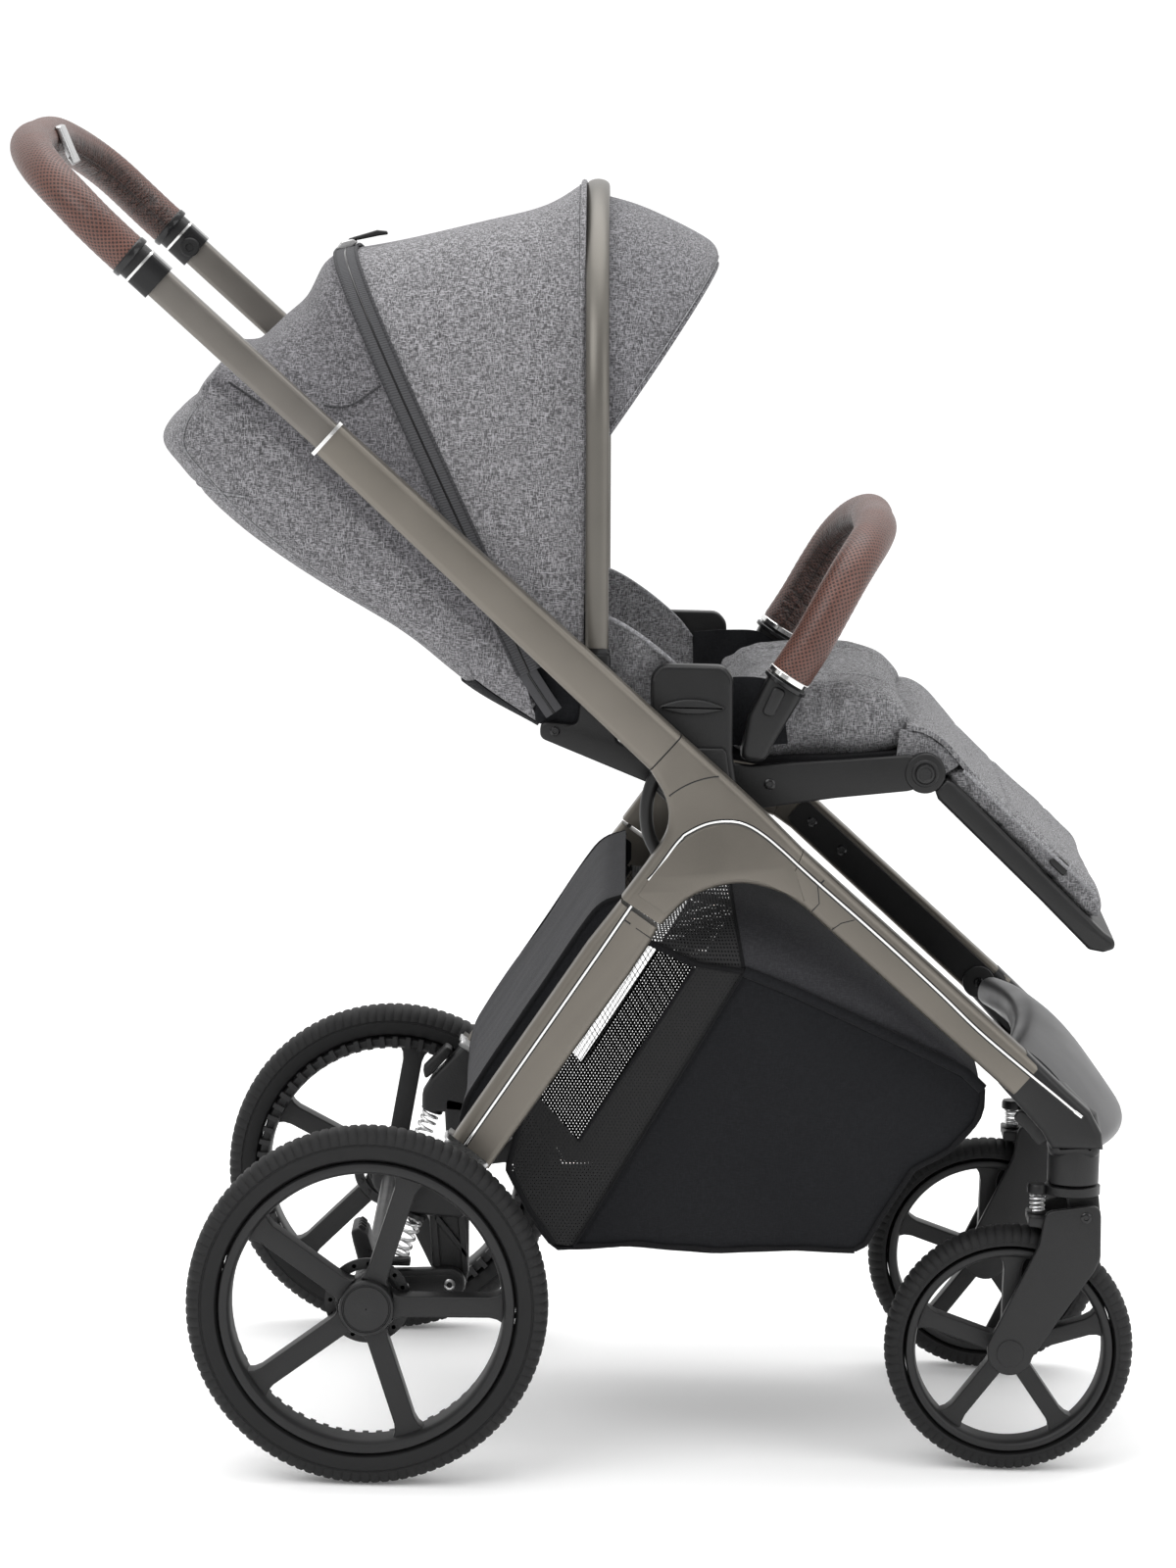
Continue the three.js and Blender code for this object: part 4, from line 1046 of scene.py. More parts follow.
both("rear_arm", plate(link(ARM_PIVOT, 12.6, REAR_HUB, 16.6), 214.6, 228.4, 3.0),
     CASTING, "rear_axle")
both("rear_arm_panel", plate(link(ARM_PIVOT, 8.0, REAR_HUB, 11.5), 228.0, 229.4, 0.7),
     SATIN, "rear_axle")
both("arm_spring_seat",
     plate(round_corners([(-172, 166), (-154, 166), (-154, 171.5), (-172, 171.5)], 1.5), 214, 229, 2), CASTING,
     "rear_axle")
axle = turned([(-293.6, 6.4), (-292.6, 7.6), (-240, 7.6), (-240, 7.6), (240, 7.6), (292.6, 7.6), (293.6, 6.4)],
              (REAR_WHEEL["x"], 0, REAR_WHEEL["z"]), (0, 1, 0), 32)
piece("axle_tube", axle, SATIN, "rear_axle", stands_for=["rear_axle"], smooth=45)
both("axle_spacer", turned([(0, 11), (0.8, 12), (24, 12), (24.8, 11)], (REAR_WHEEL["x"], -229, REAR_WHEEL["z"]),
                           (0, -1, 0), 32), BLACK, "rear_axle")

springs = both("rear_coil", helix((-152, -SPRING_Y, 205.3), (-164, -SPRING_Y, 171.7), 8.2, 1.5, 5.5), SPRING,
               None, stands_for=["rear_spring_"], smooth=60)
for coil in springs:
    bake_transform(coil)

both("spring_cup_upper",
     turned([(0, 9.6), (3, 9.6), (3.6, 8.8), (3.6, 5)], (-150.8, -SPRING_Y, 208.8), (-0.34, 0, -0.94), 28),
     BLACK, "rear_frame")

PEDAL = [(-194, 150), (-202, 178), (-204, 187), (-198, 190), (-190, 184), (-179, 150)]
pedal = plate(round_corners(PEDAL, 4), 150.3, 197.7, 2.5)
pedal.add(plate(circle(REAR_WHEEL["x"], REAR_WHEEL["z"], 14, 36), 150.3, 197.7, 2.0))
for k in range(4):
    y0 = 158 + 10 * k
    rib = round_corners([(-201, 186.5), (-196, 192), (-191, 188), (-195, 183)], 1.5)
    pedal.add(plate(rib, y0, y0 + 4, 1.0))
piece("brake_lever", pedal, CASTING, "brake_pedal", stands_for=["brake_pedal"], smooth=35)

# ---------------------------------------------------------------- front bridge, sockets, casters, forks
BRIDGE = [(340, 349), (352, 354), (366, 346), (381, 334), (396, 318), (412, 297), (425, 279), (432, 268),
          (432, 260), (425, 255), (414, 258), (404, 270), (391, 287), (374, 304), (355, 320), (338, 332)]
bowl = Shape()
section = catmull(BRIDGE, 48, closed=True)
mid_x, mid_z = 385, 303
loops = []
for k in range(41):
    y = -157 + 314 * k / 40
    pull = (y / 158) ** 2
    slim = 1.0 - 0.12 * pull
    bulge = 2.5 * (1 - pull)
    loops.append(bowl.loop([(mid_x + (x - mid_x) * slim - 24 * pull, y,
                             mid_z + (z - mid_z) * slim + bulge * 0.3) for x, z in section]))
piece("bridge_bowl", bowl.loft(loops), ANTHRACITE, "chassis", stands_for=["front_bridge"], smooth=60)

CAP = [on_bar(930.5, 0.6), (372, 319.5), (391, 303), (401, 285), (402.5, 272), (360.5, 272), (353, 285),
       (342, 297), on_bar(930.5, -33.6)]
both("leg_cap", plate(CAP, 187.6, 213.8, 6.0, ends=[(CAP[0], CAP[-1])]), BLACK, "chassis")
SOCKET = round_corners([(362, 322), (372, 320), (390, 303), (400, 285), (402, 262), (360, 262), (359, 276),
                        (350, 290)], 7)
both("caster_knuckle", plate(SOCKET, 162, 200, 9.0), SATIN, "chassis", stands_for=["caster_socket_"])
both("caster_housing", turned([(0, 19.8), (1.0, 21.0), (10, 21.0), (44, 21.2), (58, 18.0), (62, 12.0)],
                              (SWIVEL_X, -FORK_Y, 238.6), (0, 0, 1), 48), SATIN, "chassis")
CAP_LINE = even([(378, 304), (384, 299.5)], 6)
both("cap_inlay", ribbon(CAP_LINE, 214.4, 2.4, 0.6), CHROME, "chassis")

both("caster_disc",
     turned([(0, 21), (0.8, 22.6), (7.6, 22.6), (8.3, 21.6)], (SWIVEL_X, -FORK_Y, 229.3), (0, 0, 1), 44), BLACK,
     "caster_", stands_for=["caster_head_"])
LUG = round_corners([(376, 231), (402, 231), (404, 214), (397, 204), (386, 204), (378, 216)], 4)
both("caster_lug", plate(LUG, FORK_Y - 8.6, FORK_Y + 8.6, 2.0), BLACK, "caster_")
both("caster_spring_cup",
     turned([(0, 7.6), (1, 9.2), (6, 9.2), (8, 8.2)], (353.5, -FORK_Y, 228.8), (0, 0, 1), 28), BLACK, "caster_")
caster_coils = both("caster_coil", helix((353, -FORK_Y, 228.7), (353, -FORK_Y, 213.8), 6.4, 1.2, 4.0), SPRING,
                    None, stands_for=["caster_spring_"], smooth=60)
for side, coil in zip(SIDES, caster_coils):
    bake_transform(coil)

wheel_centre = (FRONT_WHEEL["x"], FRONT_WHEEL["z"])
lower = [(wheel_centre[0] + 18.5 * cos(a), wheel_centre[1] + 18.5 * sin(a))
         for a in (radians(d) for d in range(-10, -181, -14))]
UPPER = [(358, 219), (403, 226), (404, 182), (399, 170)]
CHEEK_FORK = UPPER + lower + [(wheel_centre[0] - 18.5, 108), (354, 192)]
FORK_FINE = round_corners(CHEEK_FORK, 9)
CHEEKS = plate(FORK_FINE, FORK_Y + FORK_INNER, FORK_Y + FORK_OUTER, 2.0)
CHEEKS.add(plate(FORK_FINE, FORK_Y - FORK_OUTER, FORK_Y - FORK_INNER, 2.0))
YOKE = round_corners([(345, 213), (345, 205), (372, 202), (372, 211)], 2)
CHEEKS.add(plate(YOKE, FORK_Y - 21, FORK_Y + 21, 1.5))
both("fork_body", CHEEKS, SATIN, "fork_", stands_for=["fork_"])
both("fork_cap", disc(wheel_centre, 11, FORK_Y + 27.4, FORK_Y + 29.2, 0.8), SPOKE, "fork_")
both("fork_bolt", socket_bolt(391, 215, -(FORK_Y + FORK_OUTER), -1, 4.4, 2.0), GLOSS, "fork_")
both("fork_spring_cup",
     turned([(0, 8.2), (2, 9.0), (6.5, 9.0), (7.3, 7.8)], (353, -FORK_Y, 207.0), (0, 0, 1), 28), BLACK, "fork_")


# ---------------------------------------------------------------- cloth over arches
def arch(foot, crown, half, power):
    """A surface over superelliptic arches: u runs over them from right to left, v from one to the next.

    foot and crown are the x, z curves of the arches' lower ends and tops."""
    def point(u, v):
        angle = (u - 0.5) * pi
        s, c = sin(angle), cos(angle)
        side = (1 if s >= 0 else -1) * abs(s) ** (2 / power)
        rise = max(c, 0.0) ** (2 / power)
        low_point, high_point = curve_at(foot, v), curve_at(crown, v)
        x = low_point.x + (high_point.x - low_point.x) * rise
        z = low_point.y + (high_point.y - low_point.y) * rise
        return Vector((x, side * half, z))

    return point


def normal_at(point, u, v, step=1e-3):
    """The outward direction of a surface."""
    du = point(min(u + step, 1), v) - point(max(u - step, 0), v)
    dv = point(u, min(v + step, 1)) - point(u, max(v - step, 0))
    normal = dv.cross(du)
    return normal.normalized() if normal.length > 1e-9 else Vector((0, 0, 1))


def line_at(points, t):
    """The point at 0 to 1 along a polyline, by the count of its points."""
    n = len(points) - 1
    i = min(int(t * n), n - 1)
    return Vector(points[i]).lerp(Vector(points[i + 1]), t * n - i)


def skin(point, across, lengthwise, thickness=1.2, detail=None):
    """A thin closed sheet between a surface and its copy inside it, or an open one where thickness is 0.

    detail lifts a point along the normal."""
    shape = Shape()
    outer, inner = [], []
    for j in range(lengthwise + 1):
        v = j / lengthwise
        ring_out, ring_in = [], []
        for i in range(across + 1):
            u = i / across
            p = point(u, v)
            normal = normal_at(point, u, v)
            lift = detail(u, v, p) if detail else 0.0
            ring_out.append(tuple(p + normal * lift))
            ring_in.append(tuple(p + normal * (lift - thickness)))
        outer.append(shape.loop(ring_out))
        inner.append(shape.loop(ring_in))
    for j in range(lengthwise):
        for i in range(across):
            shape.face((outer[j][i], outer[j][i + 1], outer[j + 1][i + 1], outer[j + 1][i]))
            if thickness:
                shape.face((inner[j][i], inner[j + 1][i], inner[j + 1][i + 1], inner[j][i + 1]))
    if not thickness:
        return shape
    for j in range(lengthwise):
        shape.face((outer[j][0], outer[j + 1][0], inner[j + 1][0], inner[j][0]))
        shape.face((outer[j][-1], inner[j][-1], inner[j + 1][-1], outer[j + 1][-1]))
    for i in range(across):
        shape.face((outer[0][i], inner[0][i], inner[0][i + 1], outer[0][i + 1]))
        shape.face((outer[-1][i], outer[-1][i + 1], inner[-1][i + 1], inner[-1][i]))
    return shape


def cloth_area(point):
    """The area of a surface in square metres."""
    across, lengthwise = 60, 40
    grid = [[point(i / across, j / lengthwise) for i in range(across + 1)] for j in range(lengthwise + 1)]
    total = 0.0
    for j in range(lengthwise):
        for i in range(across):
            a, b, c, d = grid[j][i], grid[j][i + 1], grid[j + 1][i + 1], grid[j + 1][i]
            total += ((b - a).cross(c - a).length + (c - a).cross(d - a).length) / 2
    return total * MM * MM


def line_length(points):
    """The length of a polyline in metres."""
    return sum((Vector(b) - Vector(a)).length for a, b in zip(points, points[1:])) * MM


def cut_sheet(point):
    """Works out a sheet's flat cut, as wide and long as the lines over its surface are on average, and keeps
    nothing.
    """
    steps = [k / 40 for k in range(41)]
    width = sum(line_length([point(u, v) for u in steps]) for v in steps) / len(steps)
    length = sum(line_length([point(u, v) for v in steps]) for u in steps) / len(steps)
    min(cloth_area(point), width * length)


def place_on(point, x, z, steps=120):
    """The u and v of the right half of a surface nearest to x and z in the side view."""
    grid = [(i / steps / 2, j / steps) for i in range(steps + 1) for j in range(steps + 1)]

    def miss(place):
        p = point(*place)
        return (p.x - x) ** 2 + (p.z - z) ** 2

    return min(grid, key=miss)


def lifted(p, lift):
    """A point raised away from a line that runs lengthwise through the hood."""
    return tuple(p + Vector((0, p.y, p.z - 800)).normalized() * lift)


def seam_between(point, start, end, radius):
    """A sewn line over the right half of a surface between two x, z points."""
    first, last = Vector(place_on(point, *start)), Vector(place_on(point, *end))
    return tube([lifted(point(*first.lerp(last, k / 24)), 0.6) for k in range(25)], radius, 8)


def seam_line(point, v, radius, count=90, lift=0.3):
    """A cord of piping or stitching across the cloth at one v."""
    return tube([lifted(point(k / count, v), lift) for k in range(count + 1)], radius, 8)


def ripple(p, size, seed):
    """Smooth unevenness of cloth, from -1 to 1, the same on every run."""
    return noise.noise(Vector((p.x / size, p.y / size, p.z / size)) + Vector((seed, seed * 1.7, seed * 0.3)))


# The canopy's main panel runs from the zip to the bow.
HOOD_HALF = 183
main_point = arch([(-70, 645.5), (-50, 655), (-28.5, 668)],
                  [(-231, 969), (-179, 982), (-118, 998), (-69, 1011), (-35, 1029.5)], HOOD_HALF, 3)


def main_detail(u, v, p):
    """The cloth hollows between its arches, puckers at both and gathers towards its foot."""
    hollow = -3.2 * sin(pi * v) * (0.35 + 0.65 * abs(cos((u - 0.5) * pi)))
    low_down = max(0.0, 1 - (p.z - 640) / 230)
    folds = 2.0 * low_down * sin(v * 13 + 2.2 * ripple(p, 90, 3.0)) * min(1.0, 4 * v, 4 * (1 - v))
    pucker = 0.7 * ripple(p, 26, 1.0) * (max(0.0, 1 - v * 9) + max(0.0, 1 - (1 - v) * 9))
    drift = 2.4 * ripple(p, 110, 5.0) * sin(pi * v)
    return hollow + folds * 0.6 + pucker + drift


canopy_main = piece("canopy_main_cloth", skin(main_point, 120, 64, 1.3, main_detail), CANOPY_CLOTH, None,
                    stands_for=["canopy_main"], smooth=70)
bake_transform(canopy_main)

# The rear panel runs from the shell's top edge to the zip.
rear_point = arch([(-330, 871), (-262, 815), (-190, 748), (-120, 684), (-74, 649)],
                  [(-322, 887), (-303, 896), (-281, 918), (-265, 933), (-251, 958), (-236, 968.5)], HOOD_HALF,
                  3)


def rear_detail(u, v, p):
    """The rear panel is slack, so it sinks in the middle and folds down beside the tube."""
    over = abs(cos((u - 0.5) * pi))
    sag = -4.0 * sin(pi * v) * over
    folds = 2.2 * (1 - over) * sin(u * 40 + 3 * ripple(p, 120, 8.0)) * sin(pi * v)
    return sag + folds * 0.5 + 2.2 * ripple(p, 75, 2.0) * sin(pi * v)


canopy_rear = piece("canopy_rear_cloth", skin(rear_point, 110, 54, 1.3, rear_detail), HOOD_CLOTH_SHADED, "backrest",
                    stands_for=["canopy_rear"], smooth=70)

visor_point = arch([(-19, 852), (-16, 843), (-13, 835)],
                   [(-24, 1021), (8, 1013.5), (37, 1002), (62, 990), (72, 983), (76, 975), (74.5, 966)], 181, 2)


def belly(depth, size, seed, height):
    """A hollow between two held edges, with ripples that die away at both."""
    return lambda u, v, p: depth * sin(pi * v) + height * ripple(p, size, seed) * sin(pi * v)


visor = piece("visor_cloth", skin(visor_point, 90, 36, 1.6, belly(-1.6, 80, 4.0, 0.9)), VISOR_CLOTH, None,
              stands_for=["canopy_visor"], smooth=70)
visor_hem = piece("visor_hem", seam_line(visor_point, 0.995, 2.0, lift=-0.4), VISOR_CLOTH, None)
visor_stitch = piece("visor_stitch", seam_line(visor_point, 0.90, 0.5, lift=0.5), PIPING, None)
for thing in (visor, visor_hem, visor_stitch):
    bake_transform(thing)


# The zip: two ribbed tapes with corded edges and a fine coil between them, along the main panel's back edge.
def zip_path(offset, count, lift=1.2):
    """Points and normals beside the zip, offset backwards in mm from the main panel's rear edge."""
    v = 0.004
    path = []
    for k in range(count + 1):
        u = k / count
        p = main_point(u, v)
        q = main_point(u, min(1.0, v + 0.02))
        back = (p - q)
        back = back.normalized() if back.length > 1e-6 else Vector((-1, 0, 0))
        across_dir = main_point(min(1, u + 0.003), v) - main_point(max(0, u - 0.003), v)
        normal = (-back).cross(across_dir).normalized()
        path.append((p + back * offset + normal * lift, normal))
    return path


def tape_strip(name, first, second):
    """A flat tape between two offsets from the panel's rear edge, following the arch."""
    height = 1.2
    shape = Shape()
    loops = []
    for (p, n), (q, m) in zip(zip_path(first, 170), zip_path(second, 170)):
        loops.append(shape.loop([tuple(p), tuple(p + n * height), tuple(q + m * height), tuple(q)]))
    run = 0.0
    for one, two in zip(loops, loops[1:]):
        step = (Vector(shape.verts[two[0]]) - Vector(shape.verts[one[0]])).length * MM
        shape.bridge(one, two, uv=lambda i, r=run, s=step: [(r, i * 0.01), (r, (i + 1) * 0.01),
                                                           (r + s, (i + 1) * 0.01), (r + s, i * 0.01)])
        run += step
    shape.face(loops[0][::-1])
    shape.face(loops[-1])
    return piece(name, shape, ZIP_TAPE, "backrest", smooth=40)


def zip_cord(name, offset, count, radius, material):
    """A round cord or coil that follows the zip."""
    path = [tuple(p) for p, _ in zip_path(offset, count, 1.8)]
    return piece(name, tube(path, radius, 8), material, "backrest", "dark_fabric")


tapes = [tape_strip("zip_tape_front", -8.6, -0.9), tape_strip("zip_tape_rear", 0.9, 8.6),
         zip_cord("zip_cord_front", -8.8, 170, 1.5, ZIP_CORD),
         zip_cord("zip_cord_rear", 8.8, 170, 1.5, ZIP_CORD), zip_cord("zip_teeth", 0.0, 260, 1.1, GLOSS)]

# The bow tube with a cut ring near its foot, and the main panel's hem and stitching beside it.
def bow_point(t):
    """The bow's centre line: t from 0 at the right foot to 1 at the left."""
    half, leg, arc = 191.5, 197.0, pi * 190.0
    total = 2 * leg + arc
    run = t * total
    if run < leg:
        z = 642 + run
        return Vector((-15.5 - 4.0 * run / leg, -half, z))
    if run > total - leg:
        z = 642 + (total - run)
        return Vector((-15.5 - 4.0 * (total - run) / leg, half, z))
    a = (run - leg) / arc * pi
    return Vector((-19.5 - 5.0 * sin(a), -half * cos(a), 839 + 188.5 * sin(a)))


bow_path = [tuple(bow_point(k / 160)) for k in range(161)]
bow = Shape()
bow_loops = []
BOW_RING = [(cos(2 * pi * k / 20), sin(2 * pi * k / 20)) for k in range(20)]
for (tangent, _, _), p in zip(frames(bow_path), bow_path):
    fore = Vector((1, 0, 0))
    fore = (fore - tangent * fore.dot(tangent)).normalized()
    out = tangent.cross(fore)
    bow_loops.append(bow.loop([tuple(Vector(p) + fore * c * 9.4 + out * s * 5.4) for c, s in BOW_RING]))
piece("bow_tube", bow.loft(bow_loops), BOW_METAL, "canopy", stands_for=["canopy_bow"], smooth=60)
both("bow_cut",
     plate(round_corners([(-26.5, 664), (-5.5, 664), (-5.5, 665.4), (-26.5, 665.4)], 0.4), 185.4, 197.6, 3.5,
           3.5), GLOSS, "canopy")
bow_hem = piece("canopy_bow_hem", seam_line(main_point, 0.992, 2.4, lift=0.4), CANOPY_CLOTH, "canopy")
bow_stitch = piece("canopy_bow_stitch", seam_line(main_point, 0.965, 0.45, lift=0.2), PIPING, "canopy")
cut_sheet(main_point)
cut_sheet(visor_point)
hood_seams = []
for number, (start, end) in enumerate((((-316, 872), (-286, 854)), ((-194, 872), (-239, 854))), 1):
    hood_seams += both(f"hood_seam_{number}", seam_between(rear_point, start, end, 0.9), ZIP_CORD, "backrest",
                       "grey_fabric")
cut_sheet(rear_point)

# Zip slider and its ribbed pull.
slider = slab(round_corners([(-240, 969.5), (-235, 976.5), (-226, 979), (-221, 976.5), (-228, 970)], 2), 4.4,
              1.2)
piece("zip_slider", slider, STEEL, "zip_puller", "chrome")
pull = slab(round_corners([(-230, 976), (-229, 979), (-206, 986.4), (-198, 985.8), (-196.5, 983.2),
                           (-204, 982)], 1.2), 3.8, 1.0)
piece("zip_pull", pull, BLACK, "zip_puller", stands_for=["zip_puller"])

# ---------------------------------------------------------------- the seat's shell behind the back
# The padded shell under the canopy, from the seat up to its top edge.
shell_surface = arch([(-60, 612), (-130, 678), (-200, 742), (-270, 808), (-322, 862)],
                     [(-64, 597), (-119, 624), (-173, 664), (-229, 695), (-284, 728), (-328, 761), (-361, 795),
                      (-376, 816), (-367, 836), (-345, 854)], 171, 4)


def shell_detail(u, v, p):
    seam = -1.6 * max(0.0, 1 - abs(v - 0.62) * 60) - 1.4 * max(0.0, 1 - abs(abs(u - 0.5) - 0.30) * 90)
    return seam - 1.5 + 1.6 * ripple(p, 90, 6.0) + 0.5 * ripple(p, 30, 9.0)


seat_shell = piece("seat_shell", skin(shell_surface, 100, 80, 7.0, shell_detail), SHELL_CLOTH, "backrest",
      stands_for=["back_shell"], smooth=70)


def shell_line(u_start, u_end, v_start, v_end, radius, material, name, lift, count=120):
    """A seam or a rolled edge along the shell."""
    path = []
    for k in range(count + 1):
        t = k / count
        u, v = u_start + (u_end - u_start) * t, v_start + (v_end - v_start) * t
        path.append(tuple(shell_surface(u, v) + normal_at(shell_surface, u, v) * lift))
    piece(name, tube(path, radius, 8), material, "backrest")


shell_line(0.02, 0.98, 0.62, 0.62, 0.9, PIPING, "shell_seam_across", -2.0)
for label, u in (("right", 0.2), ("left", 0.8)):
    shell_line(u, u, 0.03, 0.97, 0.8, PIPING, f"shell_seam_{label}", -2.0)
for label, u in (("right", 0.004), ("left", 0.996)):
    shell_line(u, u, 0.02, 0.99, 5.0, SHELL_CLOTH, f"shell_edge_{label}", 1.5)
shell_line(0.01, 0.99, 0.995, 0.995, 3.0, SHELL_CLOTH, "shell_top_edge", -1.5)

# A soft gusset closes the space between the hood's edge and the shell, and dark cloth binds the shell's foot.
GUSSET_REACH = 0.09


def gusset_point(u, v):
    """u runs from the left front corner, round the back and to the right front corner; v from hood to shell."""
    if u < 0.3:
        t = u / 0.3
        top, low = rear_point(1.0, 1 - t), shell_surface(1 - GUSSET_REACH, 0.985 * t)
    elif u > 0.7:
        t = (1 - u) / 0.3
        top, low = rear_point(0.0, 1 - t), shell_surface(GUSSET_REACH, 0.985 * t)
    else:
        t = (0.7 - u) / 0.4
        top, low = rear_point(t, 0.0), shell_surface(GUSSET_REACH + (1 - 2 * GUSSET_REACH) * t, 0.985)
    out = Vector((0, low.y, -60)).normalized() * 2.0 if u < 0.3 or u > 0.7 else Vector((-0.5, 0, 1.0))
    return top.lerp(low + out, v)


def gusset_detail(u, v, p):
    at_back = max(0.0, 1 - abs(u - 0.5) / 0.2)
    return 5.0 * (1 - at_back) * sin(pi * v) + 0.8 * ripple(p, 40, 21.0)


gusset = piece("hood_gusset", skin(gusset_point, 150, 12, 1.4, gusset_detail), SHELL_CLOTH, "backrest",
               smooth=70)
cut_sheet(gusset_point)


def shell_foot(u, v):
    p = shell_surface(0.10 + 0.80 * u, 0.13 * v)
    return p + Vector((0.35, 0, -0.94)) * 2.2


foot_cloth = piece("shell_foot_cloth", skin(shell_foot, 60, 12, 1.5), DARK_CLOTH, "backrest", smooth=70)
cut_sheet(shell_foot)
both("shell_foot_side",
     plate(round_corners([(-64, 603), (-28, 601), (-26, 654), (-68, 664)], 4), 171, 175.5, 1.5), DARK_CLOTH,
     "backrest")
ZIP_FOOT = [(-86, 672), (-74, 650), (-61, 630), (-49, 613)]
both("zip_foot", ribbon(even(catmull(ZIP_FOOT, 20), 24), 183.4, 15.0, 1.2), ZIP_TAPE, "backrest")
both("zip_foot_teeth", ribbon(even(catmull(ZIP_FOOT, 20), 24), 184.2, 2.0, 1.0), GLOSS, "backrest")

piece("recline_handle",
      slab(round_corners([(-318, 746), (-284, 727), (-281, 731), (-302, 745), (-315, 753)], 3), 32, 2.5), GLOSS,
      "recline_lever", stands_for=["recline_lever"])


# ---------------------------------------------------------------- padded pieces
def pad_shape(outline, half, count, rows, crown):
    """A closed pad spanning the width. Its side outline is x, z points; the ends round off like a pillow."""
    ring = even(list(round_corners(outline, 10, 5)) + [round_corners(outline, 10, 5)[0]], count + 1)[:-1]
    mid = Vector((sum(p[0] for p in ring) / count, sum(p[1] for p in ring) / count))
    shape = Shape()
    loops = []
    for j in range(rows + 1):
        t = -1 + 2 * j / rows
        y = half * t
        end = max(0.0, (abs(t) - 0.86) / 0.14)
        shrink = crown * (1 - sqrt(max(0.0, 1 - end * end)))
        points = []
        for p in ring:
            q = Vector(p)
            away = q - mid
            if away.length > 1e-6:
                q = q - away.normalized() * min(shrink, away.length * 0.8)
            points.append((q.x, y, q.y))
        loops.append(shape.loop(points))
    return shape.loft(loops)


def puffed(thing, cap):
    """Swells a pad with the cloth solver, moving no point further than cap metres, and applies the result."""
    scene = bpy.context.scene
    mesh = thing.data
    pressure, voxel = 4.0, 0.006
    bpy.ops.object.select_all(action="DESELECT")
    thing.select_set(True)
    bpy.context.view_layer.objects.active = thing
    mesh.remesh_voxel_size = voxel
    mesh.remesh_voxel_adaptivity = 0.0
    bpy.ops.object.voxel_remesh()
    start = [v.co.copy() for v in mesh.vertices]
    cloth = thing.modifiers.new("Swell", "CLOTH")
    cloth.settings.use_pressure = True
    cloth.settings.uniform_pressure_force = pressure
    cloth.settings.quality = 4
    cloth.settings.effector_weights.gravity = 0.0
    cloth.collision_settings.use_collision = False
    cloth.point_cache.frame_start, cloth.point_cache.frame_end = 1, 20
    for step in range(1, 21):
        scene.frame_set(step)
    swollen = thing.evaluated_get(bpy.context.evaluated_depsgraph_get()).to_mesh()
    ends = [v.co.copy() for v in swollen.vertices]
    thing.evaluated_get(bpy.context.evaluated_depsgraph_get()).to_mesh_clear()
    thing.modifiers.remove(cloth)
    for v, a, b in zip(mesh.vertices, start, ends):
        move = b - a
        if move.length > cap:
            move = move.normalized() * cap
        v.co = a + move
    mesh.update()
    scene.frame_set(1)


def relief(thing, height):
    """Moves each point along its normal by a height in mm at its drawn place: seams, quilting and wrinkles."""
    mesh = thing.data
    moves = []
    for v in mesh.vertices:
        p = Vector((v.co.x / MM - SHIFT, v.co.y / MM, v.co.z / MM))
        moves.append(v.normal * height(p) * MM)
    for v, move in zip(mesh.vertices, moves):
        v.co += move
    mesh.update()
    mesh.shade_smooth()
    mesh.set_sharp_from_angle(angle=radians(60.0))


def groove(value, width):
    """1 at a seam and 0 away from it."""
    return max(0.0, 1 - abs(value) / width) ** 2


def pad(name, shape, body, node, cap, height):
    """A padded piece: swollen by the solver, made finer, then quilted."""
    thing = piece(name, shape, PAD_CLOTH, body, smooth=80, stands_for=[node])
    puffed(thing, cap)
    thing.data.materials.clear()
    thing.data.materials.append(PAD_CLOTH)
    extra = thing.modifiers.new("Smooth", "SUBSURF")
    extra.levels = extra.render_levels = 1
    bpy.ops.object.select_all(action="DESELECT")
    thing.select_set(True)
    bpy.context.view_layer.objects.active = thing
    bpy.ops.object.modifier_apply(modifier=extra.name)
    relief(thing, height)


# The seat cushion: a puffy top with pleats at the back, a rounded front roll and a seam round its side.
SEAT = [(86, 588), (82, 606), (90, 621), (112, 630), (150, 633.5), (195, 634), (226, 627), (241, 613),
        (246, 600), (241, 588), (200, 579.5), (112, 576.5)]


def seat_relief(p):
    side = 1.0 if abs(p.y) > 100 else 0.6
    cross = 2.6 * groove(p.x - 172, 7) * (p.z > 606)
    lengthwise = 2.6 * groove(abs(p.y) - 92, 8) * (p.z > 606)
    welt = 1.6 * groove(p.z - 604 - 0.03 * (p.x - 160), 3.5)
    wrinkle = 1.1 * ripple(p, 34, 1.3) * side + 2.0 * ripple(p, 90, 4.1)
    pleats = 1.3 * sin(p.x * 0.42 + 1.5 * ripple(p, 50, 2.2)) * max(0.0, 1 - abs(p.z - 618) / 22) * (p.x < 205)
    return wrinkle + pleats - cross - lengthwise - welt


pad("seat_pad", pad_shape(SEAT, 160, 84, 46, 18), "chassis", "seat_cushion", 0.006, seat_relief)

BACK = [(-42, 616), (-52, 613), (-104, 651), (-156, 693), (-208, 727), (-262, 760), (-306, 790), (-333, 817),
        (-328, 823), (-300, 809), (-252, 777), (-198, 744), (-146, 710), (-90, 664), (-40, 624)]


def back_relief(p):
    run = (p.x + 340) * 0.82 + (p.z - 620) * -0.1
    channels = 2.4 * groove((run % 72) - 36, 8)
    middle = 2.4 * groove(abs(p.y) - 70, 8)
    return 1.2 * ripple(p, 45, 6.2) - channels - middle


pad("back_pad", pad_shape(BACK, 134, 96, 40, 12), "backrest", "backrest_cushion", 0.004, back_relief)

